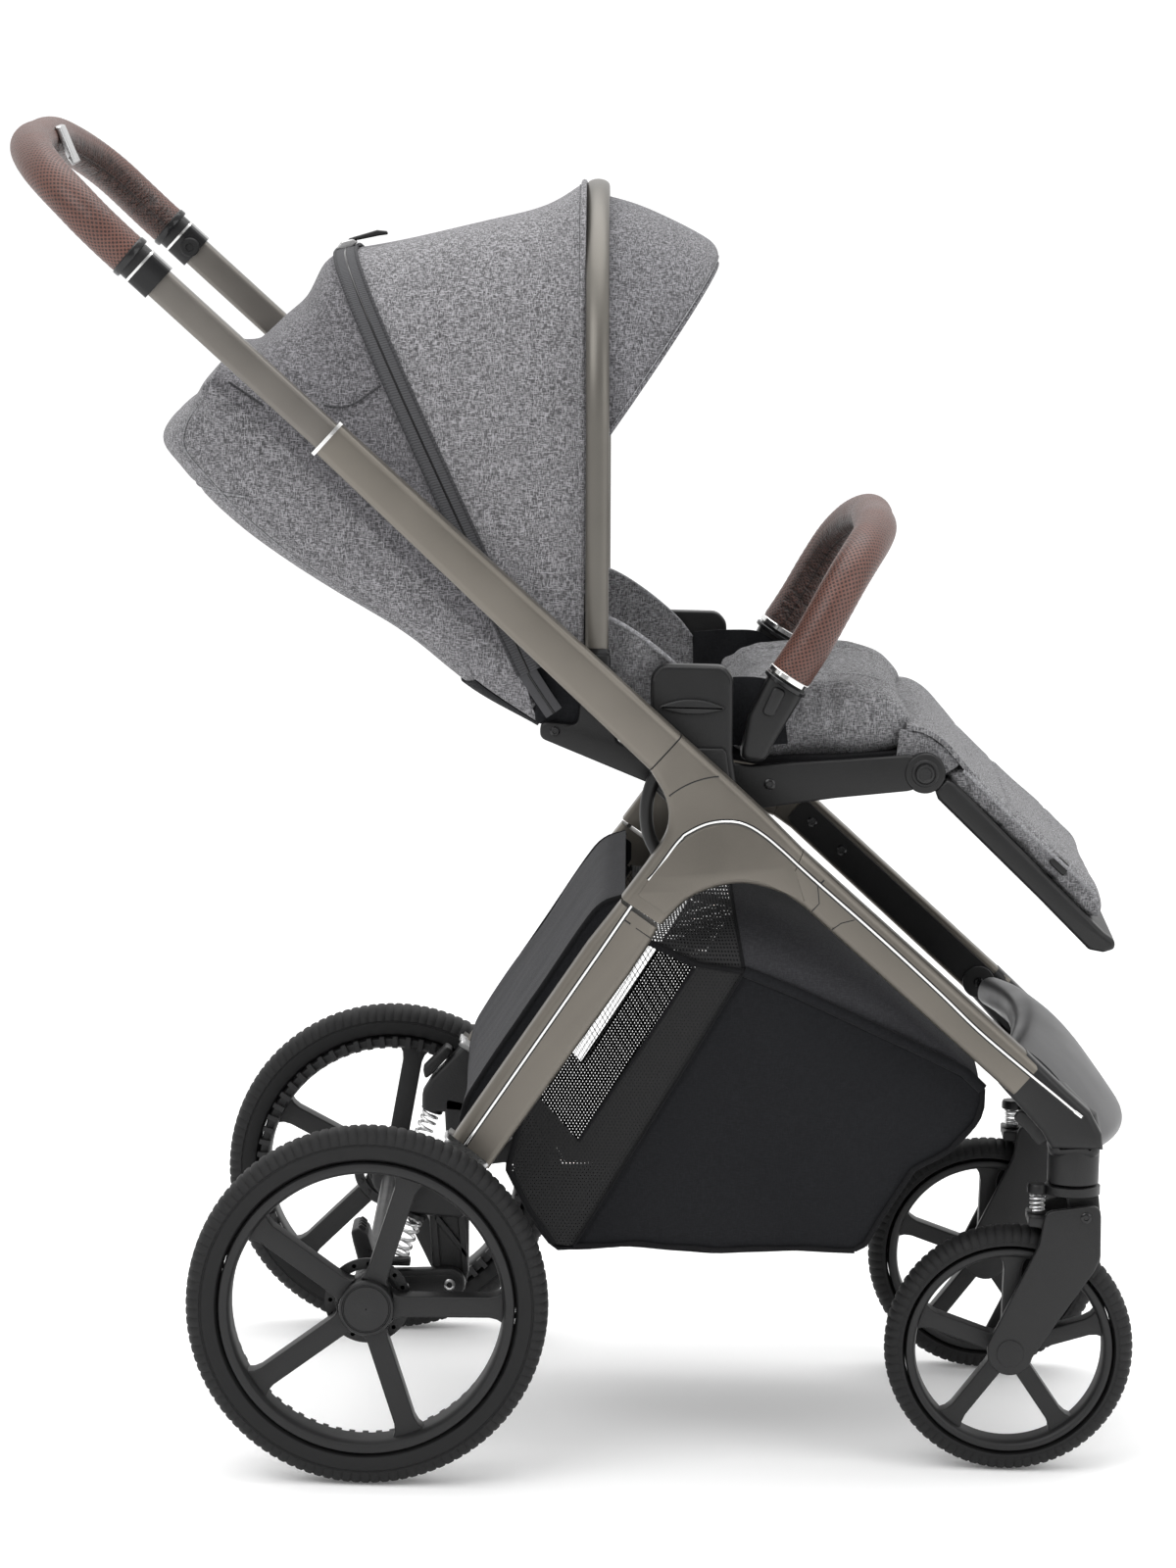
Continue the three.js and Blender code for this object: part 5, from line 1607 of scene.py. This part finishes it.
LEGREST = [(266, 570), (271, 576), (281, 573), (320, 538), (364, 499), (394, 471), (402, 459), (400, 450),
           (394, 449), (278, 558), (269, 562)]


def legrest_relief(p):
    along_rest = (p.x - 268) * 0.79 - (p.z - 570) * 0.61
    panels = 2.2 * groove(along_rest - 62, 6) + 2.2 * groove(along_rest - 122, 6)
    edges = 2.0 * groove(abs(p.y) - 136, 6)
    return 1.0 * ripple(p, 40, 7.7) - panels - edges


pad("legrest_pad", pad_shape(LEGREST, 167, 84, 42, 9), "legrest", "legrest_cushion", 0.004, legrest_relief)
for label, y in (("right", -168.0), ("left", 168.0)):
    line_points = catmull([(282, 572), (293, 563), (321, 536.5), (365, 498), (392, 474)], 40)
    piece(f"legrest_piping_{label}", tube([(x, y, z) for x, z in line_points], 1.5, 10), PIPING, "legrest")

# Side wings of the seat cover, between the hood and the seat.
def wing_shape(points_top, points_low, y_top, y_low, seed):
    """A cloth on the right side between two lines: its shape, its upper edge and its surface."""
    count, rows = 26, 14
    top, low_line = even(catmull(points_top, 30), count + 1), even(catmull(points_low, 30), count + 1)

    def point(u, v):
        p = line_at(top, u).lerp(line_at(low_line, u), v)
        return Vector((p.x, -(y_top + (y_low - y_top) * v), p.y))

    def detail(u, v, p):
        return 2.2 * sin(u * 15 + 2.5 * v + seed) * sin(pi * min(1.0, v * 1.2 + 0.1)) + 1.4 * ripple(p, 30,
                                                                                                     seed)

    return skin(point, count, rows, 2.2,
                detail), [tuple(point(k / count, 0.0)) for k in range(count + 1)], point


wing, wing_edge, wing_point = wing_shape([(-24, 690), (-7, 690), (20, 675), (49, 652), (64, 634)],
                                         [(-28, 616), (-6, 604), (14, 598), (32, 594), (50, 592), (66, 592)],
                                         178, 164, seed=1.0)
wings = both("seat_wing", wing, PAD_CLOTH, "chassis", smooth=70)
wing_hems = both("seat_wing_hem", tube(wing_edge, 2.0, 10), PIPING, "chassis")
for thing, hem in zip(wings, wing_hems):
    cut_sheet(wing_point)
side_cloth, _, side_point = wing_shape([(66, 641), (90, 643), (118, 643), (134, 636)],
                                       [(66, 590), (90, 588), (118, 588), (140, 590)], 164, 163, seed=3.0)
for thing in both("seat_side_cloth", side_cloth, DARK_CLOTH, "chassis", smooth=70):
    cut_sheet(side_point)

# A strip of cloth joins the seat pad to the leg rest over the hinge.
KNEE_HALF = 163
KNEE_LINE = even(catmull([(236, 607), (250, 604.5), (264, 596), (277, 583), (292, 568)], 24), 24)


def knee_point(u, v):
    p = line_at(KNEE_LINE, v)
    return Vector((p.x, KNEE_HALF * (2 * u - 1), p.y))


def knee_detail(u, v, p):
    return 1.5 * sin(pi * v) + 0.9 * ripple(p, 35, 15.0)


knee = piece("knee_cloth", skin(knee_point, 60, 24, 4.0, knee_detail), PAD_CLOTH, None, smooth=70)
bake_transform(knee)
cut_sheet(knee_point)
KNEE_SIDE = round_corners([(230, 604), (250, 601), (268, 589), (280, 576), (268, 568), (238, 569), (228, 580)],
                          3)
for thing in both("knee_side", plate(KNEE_SIDE, 156, 161, 1.8), PAD_CLOTH, None):
    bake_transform(thing)


# ---------------------------------------------------------------- basket: tub, cover, nets, piping and flap
TUB_HALF = 172
BELOW = [(110, 404), (150, 389), (200, 367), (250, 345), (291, 326), (306, 312), (306, 300), (301, 284),
         (282, 262), (252, 244), (240, 226), (214, 181), (206, 176), (150, 176.5), (90, 173.5), (30, 177),
         (-23, 173.5)]
PANEL = even(BELOW, 90)
PANEL_BACK = even([BELOW[-1], BELOW[0]], 31)
NET_STRIP = [(72, 408), (110, 404), (-23, 173.5), (-39, 175), (-60, 203), (-78, 237), (-62, 305), (-40, 282),
             (-21, 261)]
WINDOW = [(16, 433), (70, 407), (26, 336), (-21, 261), (-40, 282), (-61, 305), (-41, 341), (-3, 399)]


def side_net(outline, y_offset, seed, bulge=3.0):
    """A taut piece of the bag's side: loops that shrink from an outline to its middle and bow out a little."""
    ring = even(outline + [outline[0]], 121)[:-1]
    mid = Vector((sum(p[0] for p in ring) / 120, sum(p[1] for p in ring) / 120))
    shape = Shape()
    loops = []
    for k in range(13):
        f = 1 - k / 12
        points = []
        for x, z in ring:
            q = mid.lerp(Vector((x, z)), max(f, 0.02))
            puff = bulge * (1 - f ** 3) + 1.6 * noise.noise(Vector((q.x / 55, q.y / 70, seed))) * (1 - f * f)
            crease = 0.8 * sin(q.x / 9 + q.y / 31) * (1 - f * f) * max(0.0, 1 - abs(q.y - 200) / 70)
            points.append((q.x, -(TUB_HALF + y_offset - 2.5 + puff + crease), q.y))
        loops.append(shape.loop(points))
    for a, b in zip(loops, loops[1:]):
        shape.bridge(a, b)
    shape.face(loops[-1])
    return shape


def thicken(shape, thickness):
    """A closed skin of an open surface: a copy set off along the normals, joined at its open edges."""
    work = bmesh.new()
    verts = [work.verts.new(v) for v in shape.verts]
    for f in shape.faces:
        work.faces.new([verts[i] for i in f])
    bmesh.ops.recalc_face_normals(work, faces=work.faces)
    bmesh.ops.solidify(work, geom=work.faces[:], thickness=thickness)
    out = Shape()
    work.verts.index_update()
    out.verts = [tuple(v.co) for v in work.verts]
    for f in work.faces:
        out.face([v.index for v in f.verts])
    work.free()
    return out


def folds_up(things):
    """Gives each piece of the bag its own copy of its mesh."""
    for thing in things:
        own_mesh(thing)


def cord_run(name, points, y, radius, wobble=0.0):
    """A sewn edge or piping along x, z points on both sides of the bag."""
    count = max(20, int(line_length([(x, 0, z) for x, z in points]) / MM / 5))
    path = [(x, -y + wobble * sin(k * 0.9), z + wobble * cos(k * 0.7)) for k,
            (x, z) in enumerate(even(points, count))]
    folds_up(both(name, tube(path, radius, 10), LINING, "chassis"))


def cut_outline(outline):
    """Works out the width and length of an outline in x and z, and keeps neither."""
    width, length = ((max(c) - min(c)) * MM for c in zip(*outline))


SIDE_OUTLINE = PANEL + PANEL_BACK[1:-1]
for thing in both("basket_side", thicken(side_net(SIDE_OUTLINE, 0.0, 3.0, 6.0), 1.2), DARK_CLOTH, "chassis",
                  smooth=70):
    cut_outline(SIDE_OUTLINE)
    folds_up([thing])
folds_up(both("basket_rim_roll", tube([(x, -TUB_HALF + 1.5, z) for x, z in even(BELOW[:6], 60)], 4.6, 12),
              DARK_CLOTH, "chassis"))
cord_run("basket_front_edge", BELOW[5:12], TUB_HALF, 2.2, wobble=0.5)
cord_run("basket_low_edge", BELOW[11:], TUB_HALF, 1.7, wobble=0.5)
cord_run("basket_panel_seam", [BELOW[-1], BELOW[0]], TUB_HALF + 1.5, 1.0)


def flat_net(outline, y):
    """A flat piece of net inside an outline."""
    shape = Shape()
    shape.face(shape.loop([(x, -y, z) for x, z in even(outline + [outline[0]], 121)[:-1]]))
    return shape


for thing in both("basket_side_net", flat_net(NET_STRIP, TUB_HALF - 0.5), DARK_NET, "chassis"):
    cut_outline(NET_STRIP)
    folds_up([thing])
for thing in both("basket_window", side_net(WINDOW, 1.0, 5.0, 1.5), FINE_NET, "chassis", smooth=70):
    cut_outline(WINDOW)
    folds_up([thing])
cord_run("basket_window_edge", WINDOW[0:4], TUB_HALF, 1.6)
cord_run("basket_mouth_edge",
         [(-39, 175), (-60, 203), (-78, 237), (-62, 305), (-42, 340), (-4, 400), (16, 434)], TUB_HALF - 0.5,
         2.6)
cord_run("basket_top_edge", [(16, 434), (72, 409), (110, 404)], TUB_HALF, 2.4)


def spanning(points, half, columns, sag, seed):
    """A sheet over the bag's whole width along x, z points, with a shallow belly."""
    line_points = even(points, max(8, int(line_length([(x, 0, z) for x, z in points]) / MM / 8)))
    total = len(line_points) - 1
    shape = Shape()
    loops = []
    for k, p in enumerate(line_points):
        q = Vector(line_points[min(k + 1, total)]) - Vector(line_points[max(k - 1, 0)])
        n = Vector((-q.y, q.x)).normalized()
        row = []
        for j in range(columns + 1):
            w = -1 + 2 * j / columns
            edge = max(0.0, (abs(w) - 0.93) / 0.07)
            lift = sag * (1 - w * w) * sin(pi * k / total) + noise.noise(Vector((k * 0.23, w * 4, seed)))
            row.append((p[0] + n.x * (lift - 2 * edge * edge), w * half, p[1] + n.y * (lift - 2 * edge * edge)))
        loops.append(shape.loop(row))
    for a, b in zip(loops, loops[1:]):
        shape.bridge(a, b, closed=False)
    return thicken(shape, 1.2)


FLOOR_LINE = catmull([(-71, 237), (-58, 203), (-39, 175.5), (-23, 174), (30, 177), (90, 174), (150, 177),
                      (206, 176.5)], 70)
FRONT_LINE = catmull([(206, 176.5), (214, 182), (240, 227), (252, 244), (282, 262), (301, 284), (306, 302),
                      (303, 314)], 50)
for name, line_points, sag, nodes in (("basket_floor", FLOOR_LINE, 3.0, ["basket"]),
                                      ("basket_front", FRONT_LINE, -3.0, [])):
    thing = piece(name, spanning(line_points, TUB_HALF, 34, sag, abs(sag)), DARK_CLOTH, "chassis",
                  stands_for=nodes, smooth=70)
    run = line_length([(x, 0, z) for x, z in line_points])
    folds_up([thing])

# The cover and the net behind it rise from the sides' top edge to a crown, like a low tent.
cover_point = arch([(110, 403), (170, 380), (240, 350), (291, 326), (303, 316)],
                   [(98, 464), (150, 446), (210, 413), (270, 360), (302, 326)], 170, 3.2)
mesh_point = arch([(17, 433), (72, 408), (110, 404)], [(18, 440), (62, 454), (98, 464.4)], 170, 3.2)
cover = piece("basket_cover", skin(cover_point, 80, 30, 1.4, belly(-2.5, 60, 12.0, 1.5)), COVER_CLOTH,
              "chassis", smooth=70)
top_net = piece("basket_top_net", skin(mesh_point, 80, 16, 0), TOP_NET, "chassis", smooth=70)
cover_seam = piece("basket_cover_seam", seam_line(cover_point, 0.0, 1.6), LINING, "chassis")
cut_sheet(cover_point)
cut_sheet(mesh_point)
folds_up([cover, cover_seam, top_net])

FLAP = [(6, 463), (-6, 457), (-21, 439), (-54, 387), (-100, 315), (-115.5, 282), (-116.5, 233), (-106, 227.5),
        (-97, 243), (-88, 266), (-41, 349), (-1, 411), (17, 440), (17, 455)]
flap_outer = catmull([(12, 464), (-6, 457), (-21, 439), (-54, 387), (-100, 315), (-115.5, 282), (-117, 234),
                      (-107, 227)], 60)


def flap_point(u, v):
    p = line_at(flap_outer, v)
    return Vector((p.x, -174 + 348 * u, p.y))


def flap_detail(u, v, p):
    w = 2 * u - 1
    slack = 4.0 * (1 - w * w) * sin(pi * v)
    creases = 1.0 * sin(w * 26 + p.z / 30) * v * 0.5
    return slack + 2.0 * ripple(p, 60, 11.0) * sin(pi * min(1, v * 1.1)) + creases


flap = piece("basket_flap_sheet", skin(flap_point, 60, 60, 1.6, flap_detail), COVER_CLOTH, "rear_frame",
             stands_for=["basket_flap"], smooth=70)
flap_sides = plate(round_corners(FLAP, 4), 173.0, 174.6, 0.3, 0, 1)
cut_sheet(flap_point)
both("basket_flap_side", flap_sides, DARK_CLOTH, "rear_frame")
for label, y in (("right", -174), ("left", 174)):
    piece(f"flap_piping_{label}", tube([(x, y, z) for x, z in even(flap_outer, 60)], 2.2, 10), LINING,
          "rear_frame")

# ---------------------------------------------------------------- seat rails, adapters, bumper, leg rest frame
ADAPTER = [(31, 556), (28, 575), (28, 647), (36, 656), (86, 656), (94, 647), (95, 585), (100, 553), (96, 538),
           (50, 538)]
both("seat_adapter", plate(round_corners(ADAPTER, 12), 183.2, 197.8, 3.5, 2), BLACK, "chassis",
     stands_for=["adapter_"])
both("adapter_lug",
     plate(round_corners([(36, 556), (33, 590), (90, 590), (95, 555), (88, 541), (52, 541)], 6), 194, 202.6,
           2.0), BLACK, "chassis")
RIM = inset(round_corners(ADAPTER[::-1] if area_of(ADAPTER) < 0 else ADAPTER, 12), 2.2)
rim_points = [p for p in RIM if p[1] > 600]
both("adapter_rim",
     ribbon(even(sorted(rim_points, key=lambda p: atan2(p[1] - 610, p[0] - 61)), 60), 197.6, 1.6, 0.7), SATIN,
     "chassis")
RIDGE = [(35, 622), (48, 627.5), (61, 629), (74, 627.5), (88, 622), (74, 617.5), (61, 616.5), (48, 617.5)]
both("adapter_latch", plate(catmull(RIDGE, 40, closed=True), 198.3, 202.3, 2.0, 0.2), SATIN, "adapter_release_",
     stands_for=["adapter_release_"])

RAILS = [(72, 577), (110, 573), (180, 579), (246, 585), (246, 556), (180, 548), (119, 538), (72, 547)]
both("seat_rail", plate(round_corners(RAILS, 10), 166.2, 173.8, 2.2), BLACK, "chassis")
both("seat_rail_bolt", socket_bolt(126, 558, -173.8, -1, 4.6, 2.0), GLOSS, "chassis")
both("rail_root", disc(SEAT_PIVOT, 19, 165.4, 174.6, 2.0), BLACK, "chassis")
both("rail_root_bolt", socket_bolt(SEAT_PIVOT[0], SEAT_PIVOT[1], -174.6, -1, 6.0, 2.2), GLOSS, "chassis")
both("rail_hinge", disc(LEGREST_PIVOT, 16.5, 165.4, 174.9, 2.0), BLACK, "chassis")
both("rail_hinge_ring", lathe([(8.8, -175.9), (10.4, -175.9), (11.2, -175.2), (11.2, -174.4), (8.8, -174.4)],
                              (LEGREST_PIVOT[0], 0, LEGREST_PIVOT[1]), 48), SATIN, "chassis")
cross = turned([(-165, 7), (165, 7)], (205, 0, 562), (0, 1, 0), 28)
piece("seat_cross_tube", cross, SATIN, "chassis", stands_for=["seat_frame"])
base = slab(round_corners([(82, 581), (120, 577), (180, 580), (232, 585), (232, 582), (180, 576), (118, 571),
                           (82, 577)], 2), 156, 1)
piece("seat_base_board", base, LINING, "chassis")

both("legrest_press",
     turned([(0, 7.9), (7.4, 7.9), (9.4, 7.2), (9.9, 5.6), (9.2, 4.8)],
            (LEGREST_PIVOT[0], -170.2, LEGREST_PIVOT[1]), (0, -1, 0), 36), SATIN, "legrest_button_",
     stands_for=["legrest_button_"])

ARM = [(66, 578), (66, 546), (27, 558), (-60, 592), (-60, 606), (-30, 603), (-26, 648), (-4, 648), (2, 590)]
both("backrest_rail", plate(round_corners(ARM, 7), 174.7, 182.2, 2.4), BLACK, "backrest",
     stands_for=["backrest_arm_"])
both("backrest_rail_bolt", socket_bolt(-48, 598, -182.2, -1, 4.0, 2.0), GLOSS, "backrest")
both("bow_foot", plate(round_corners([(-27, 636), (-4, 636), (-5, 664), (-26, 664)], 4), 184, 198, 3), BLACK,
     "backrest")

LEG_RAIL = [(268, 566), (277, 561), (400, 443), (409, 437), (409, 430), (400, 427), (388, 429), (346, 470),
            (262, 549), (259, 557)]
piece("legrest_board", slab(round_corners(LEG_RAIL, 5), 160, 3.0), BLACK, "legrest",
      stands_for=["legrest_frame"])
both("legrest_rail", plate(round_corners(LEG_RAIL, 6), 155, 173.6, 4.0), BLACK, "legrest")
both("legrest_tab", plate(round_corners([(352, 500), (362, 504), (371, 496), (366, 487)], 3), 140, 166, 1.5),
     BLACK, "legrest")

BUMPER_HALF = [(139, 175, 645), (155, 174.5, 671), (170, 170, 699), (184, 157, 724), (196, 132, 741),
               (205, 98, 751), (210, 55, 756), (210, 0, 756)]
BUMPER_PATH = even(catmull(whole_bow(BUMPER_HALF), 200), 220)
piece("bumper_grip", leather_tube(BUMPER_PATH), LEATHER, "bumper", stands_for=["bumper_bar"], smooth=60)
SOCKET_PLATE = [(100, 578), (121, 577), (128, 592), (155, 640), (127, 656), (107, 615)]
both("bumper_socket", plate(round_corners(SOCKET_PLATE, 9), 163.4, 186.6, 5.0), BLACK, "bumper")
heading = Vector((16, 0, 26)).normalized()
both("bumper_ring",
     turned([(0, 17.4), (0.6, 18.0), (4.2, 18.0), (4.8, 17.4)], (138.0, -175, 643.4), heading, 44), CHROME,
     "bumper")
both("bumper_ring_low",
     turned([(0, 18.2), (0.6, 18.8), (3.0, 18.8), (3.6, 18.2)], (135.2, -175, 638.8), heading, 44), GLOSS,
     "bumper")
both("bumper_press",
     plate(round_corners([(117, 617), (127, 614), (137, 636), (127, 640)], 4.5), 184, 189.3, 2.0), SATIN,
     "bumper_button_", stands_for=["bumper_button_"])

# The curved bar behind each hub that the rear legs fold against.
FOLD_BAR = catmull([(40, 576), (31, 560), (27, 540), (29, 520), (36, 505)], 24)
both("fold_bar", tube([(x, -198, z) for x, z in FOLD_BAR], 5.5, 14), BLACK, "chassis")


# ---------------------------------------------------------------- stage, light and camera
FLOOR_HALF = 90  # metres, so that the floor's edge stays out of every view
LENS, SENSOR = 144.08, 36.0  # millimetres
CAMERA_RIGHT = Vector((0.99967873, 0.00752049, 0.02420483))
CAMERA_UP = Vector((-0.02502361, 0.14095495, 0.98969971))
CAMERA_AT = Vector((SHIFT * MM, -5.1826, 1.2685))
LAMPS = (  # name, place and aim in metres, size in metres, watts
    ("key", (-1.6, -2.6, 3.0), (0, 0, 0.5), 2.4, 55),
    ("fill", (2.8, -2.2, 1.8), (0.1, 0, 0.5), 2.2, 28),
    ("top", (0.2, 0.4, 3.2), (0, 0, 0.5), 2.6, 45),
)


def studio():
    """A pale floor in a white room, three soft lamps, and the photograph's camera."""
    world = bpy.data.worlds.new("studio")
    bpy.context.scene.world = world
    world.use_nodes = True
    background = world.node_tree.nodes["Background"]
    background.inputs["Color"].default_value = (1.0, 1.0, 1.0, 1.0)
    # The room is white behind the object and overhead, and dimmer on the camera's side.
    tree = world.node_tree
    heading = tree.nodes.new("ShaderNodeTexCoord")
    split = tree.nodes.new("ShaderNodeSeparateXYZ")
    behind = tree.nodes.new("ShaderNodeMapRange")
    overhead = tree.nodes.new("ShaderNodeMapRange")
    total = tree.nodes.new("ShaderNodeMath")
    total.operation = "ADD"
    tree.links.new(heading.outputs["Generated"], split.inputs[0])
    for ramp, source, values in ((behind, "Y", (-0.6, 0.6, 0.42, 1.02)),
                                 (overhead, "Z", (0.3, 0.95, 0.0, 0.55))):
        tree.links.new(split.outputs[source], ramp.inputs["Value"])
        for key, value in zip(("From Min", "From Max", "To Min", "To Max"), values):
            ramp.inputs[key].default_value = value
    tree.links.new(behind.outputs[0], total.inputs[0])
    tree.links.new(overhead.outputs[0], total.inputs[1])
    tree.links.new(total.outputs[0], background.inputs["Strength"])

    mesh = bpy.data.meshes.new("floor")
    corners = [(x * FLOOR_HALF, y * FLOOR_HALF, 0) for x, y in ((-1, -1), (1, -1), (1, 1), (-1, 1))]
    mesh.from_pydata(corners, [], [(0, 1, 2, 3)])
    s = Surface("pale_floor")
    cloud = s.noise(2.0, 2.0)
    mesh.materials.append(s.set(Base_Color=s.mix(cloud, (0.93, 0.93, 0.93), (0.95, 0.95, 0.95)),
                                Roughness=s.spread(cloud, 0.3, 0.7, 0.75, 0.85), Specular_IOR_Level=0.2,
                                Emission_Color=(1.0, 1.0, 1.0, 1.0), Emission_Strength=0.10))
    floor_sheet = bpy.data.objects.new("floor", mesh)
    bpy.context.scene.collection.objects.link(floor_sheet)

    for name, place, aim, size, power in LAMPS:
        lamp = bpy.data.lights.new(name, "AREA")
        lamp.shape, lamp.size, lamp.energy = "SQUARE", size, power
        holder = bpy.data.objects.new(name, lamp)
        holder.location = place
        holder.rotation_euler = (Vector(aim) - Vector(place)).to_track_quat("-Z", "Y").to_euler()
        bpy.context.scene.collection.objects.link(holder)

    lens = bpy.data.cameras.new("camera")
    lens.lens, lens.sensor_width, lens.clip_end = LENS, SENSOR, 120.0
    camera = bpy.data.objects.new("camera", lens)
    matrix = Matrix((CAMERA_RIGHT, CAMERA_UP, CAMERA_RIGHT.cross(CAMERA_UP))).transposed().to_4x4()
    matrix.translation = CAMERA_AT
    camera.matrix_world = matrix
    bpy.context.scene.collection.objects.link(camera)
    bpy.context.scene.camera = camera
    bpy.context.scene.view_settings.view_transform = "Standard"


studio()
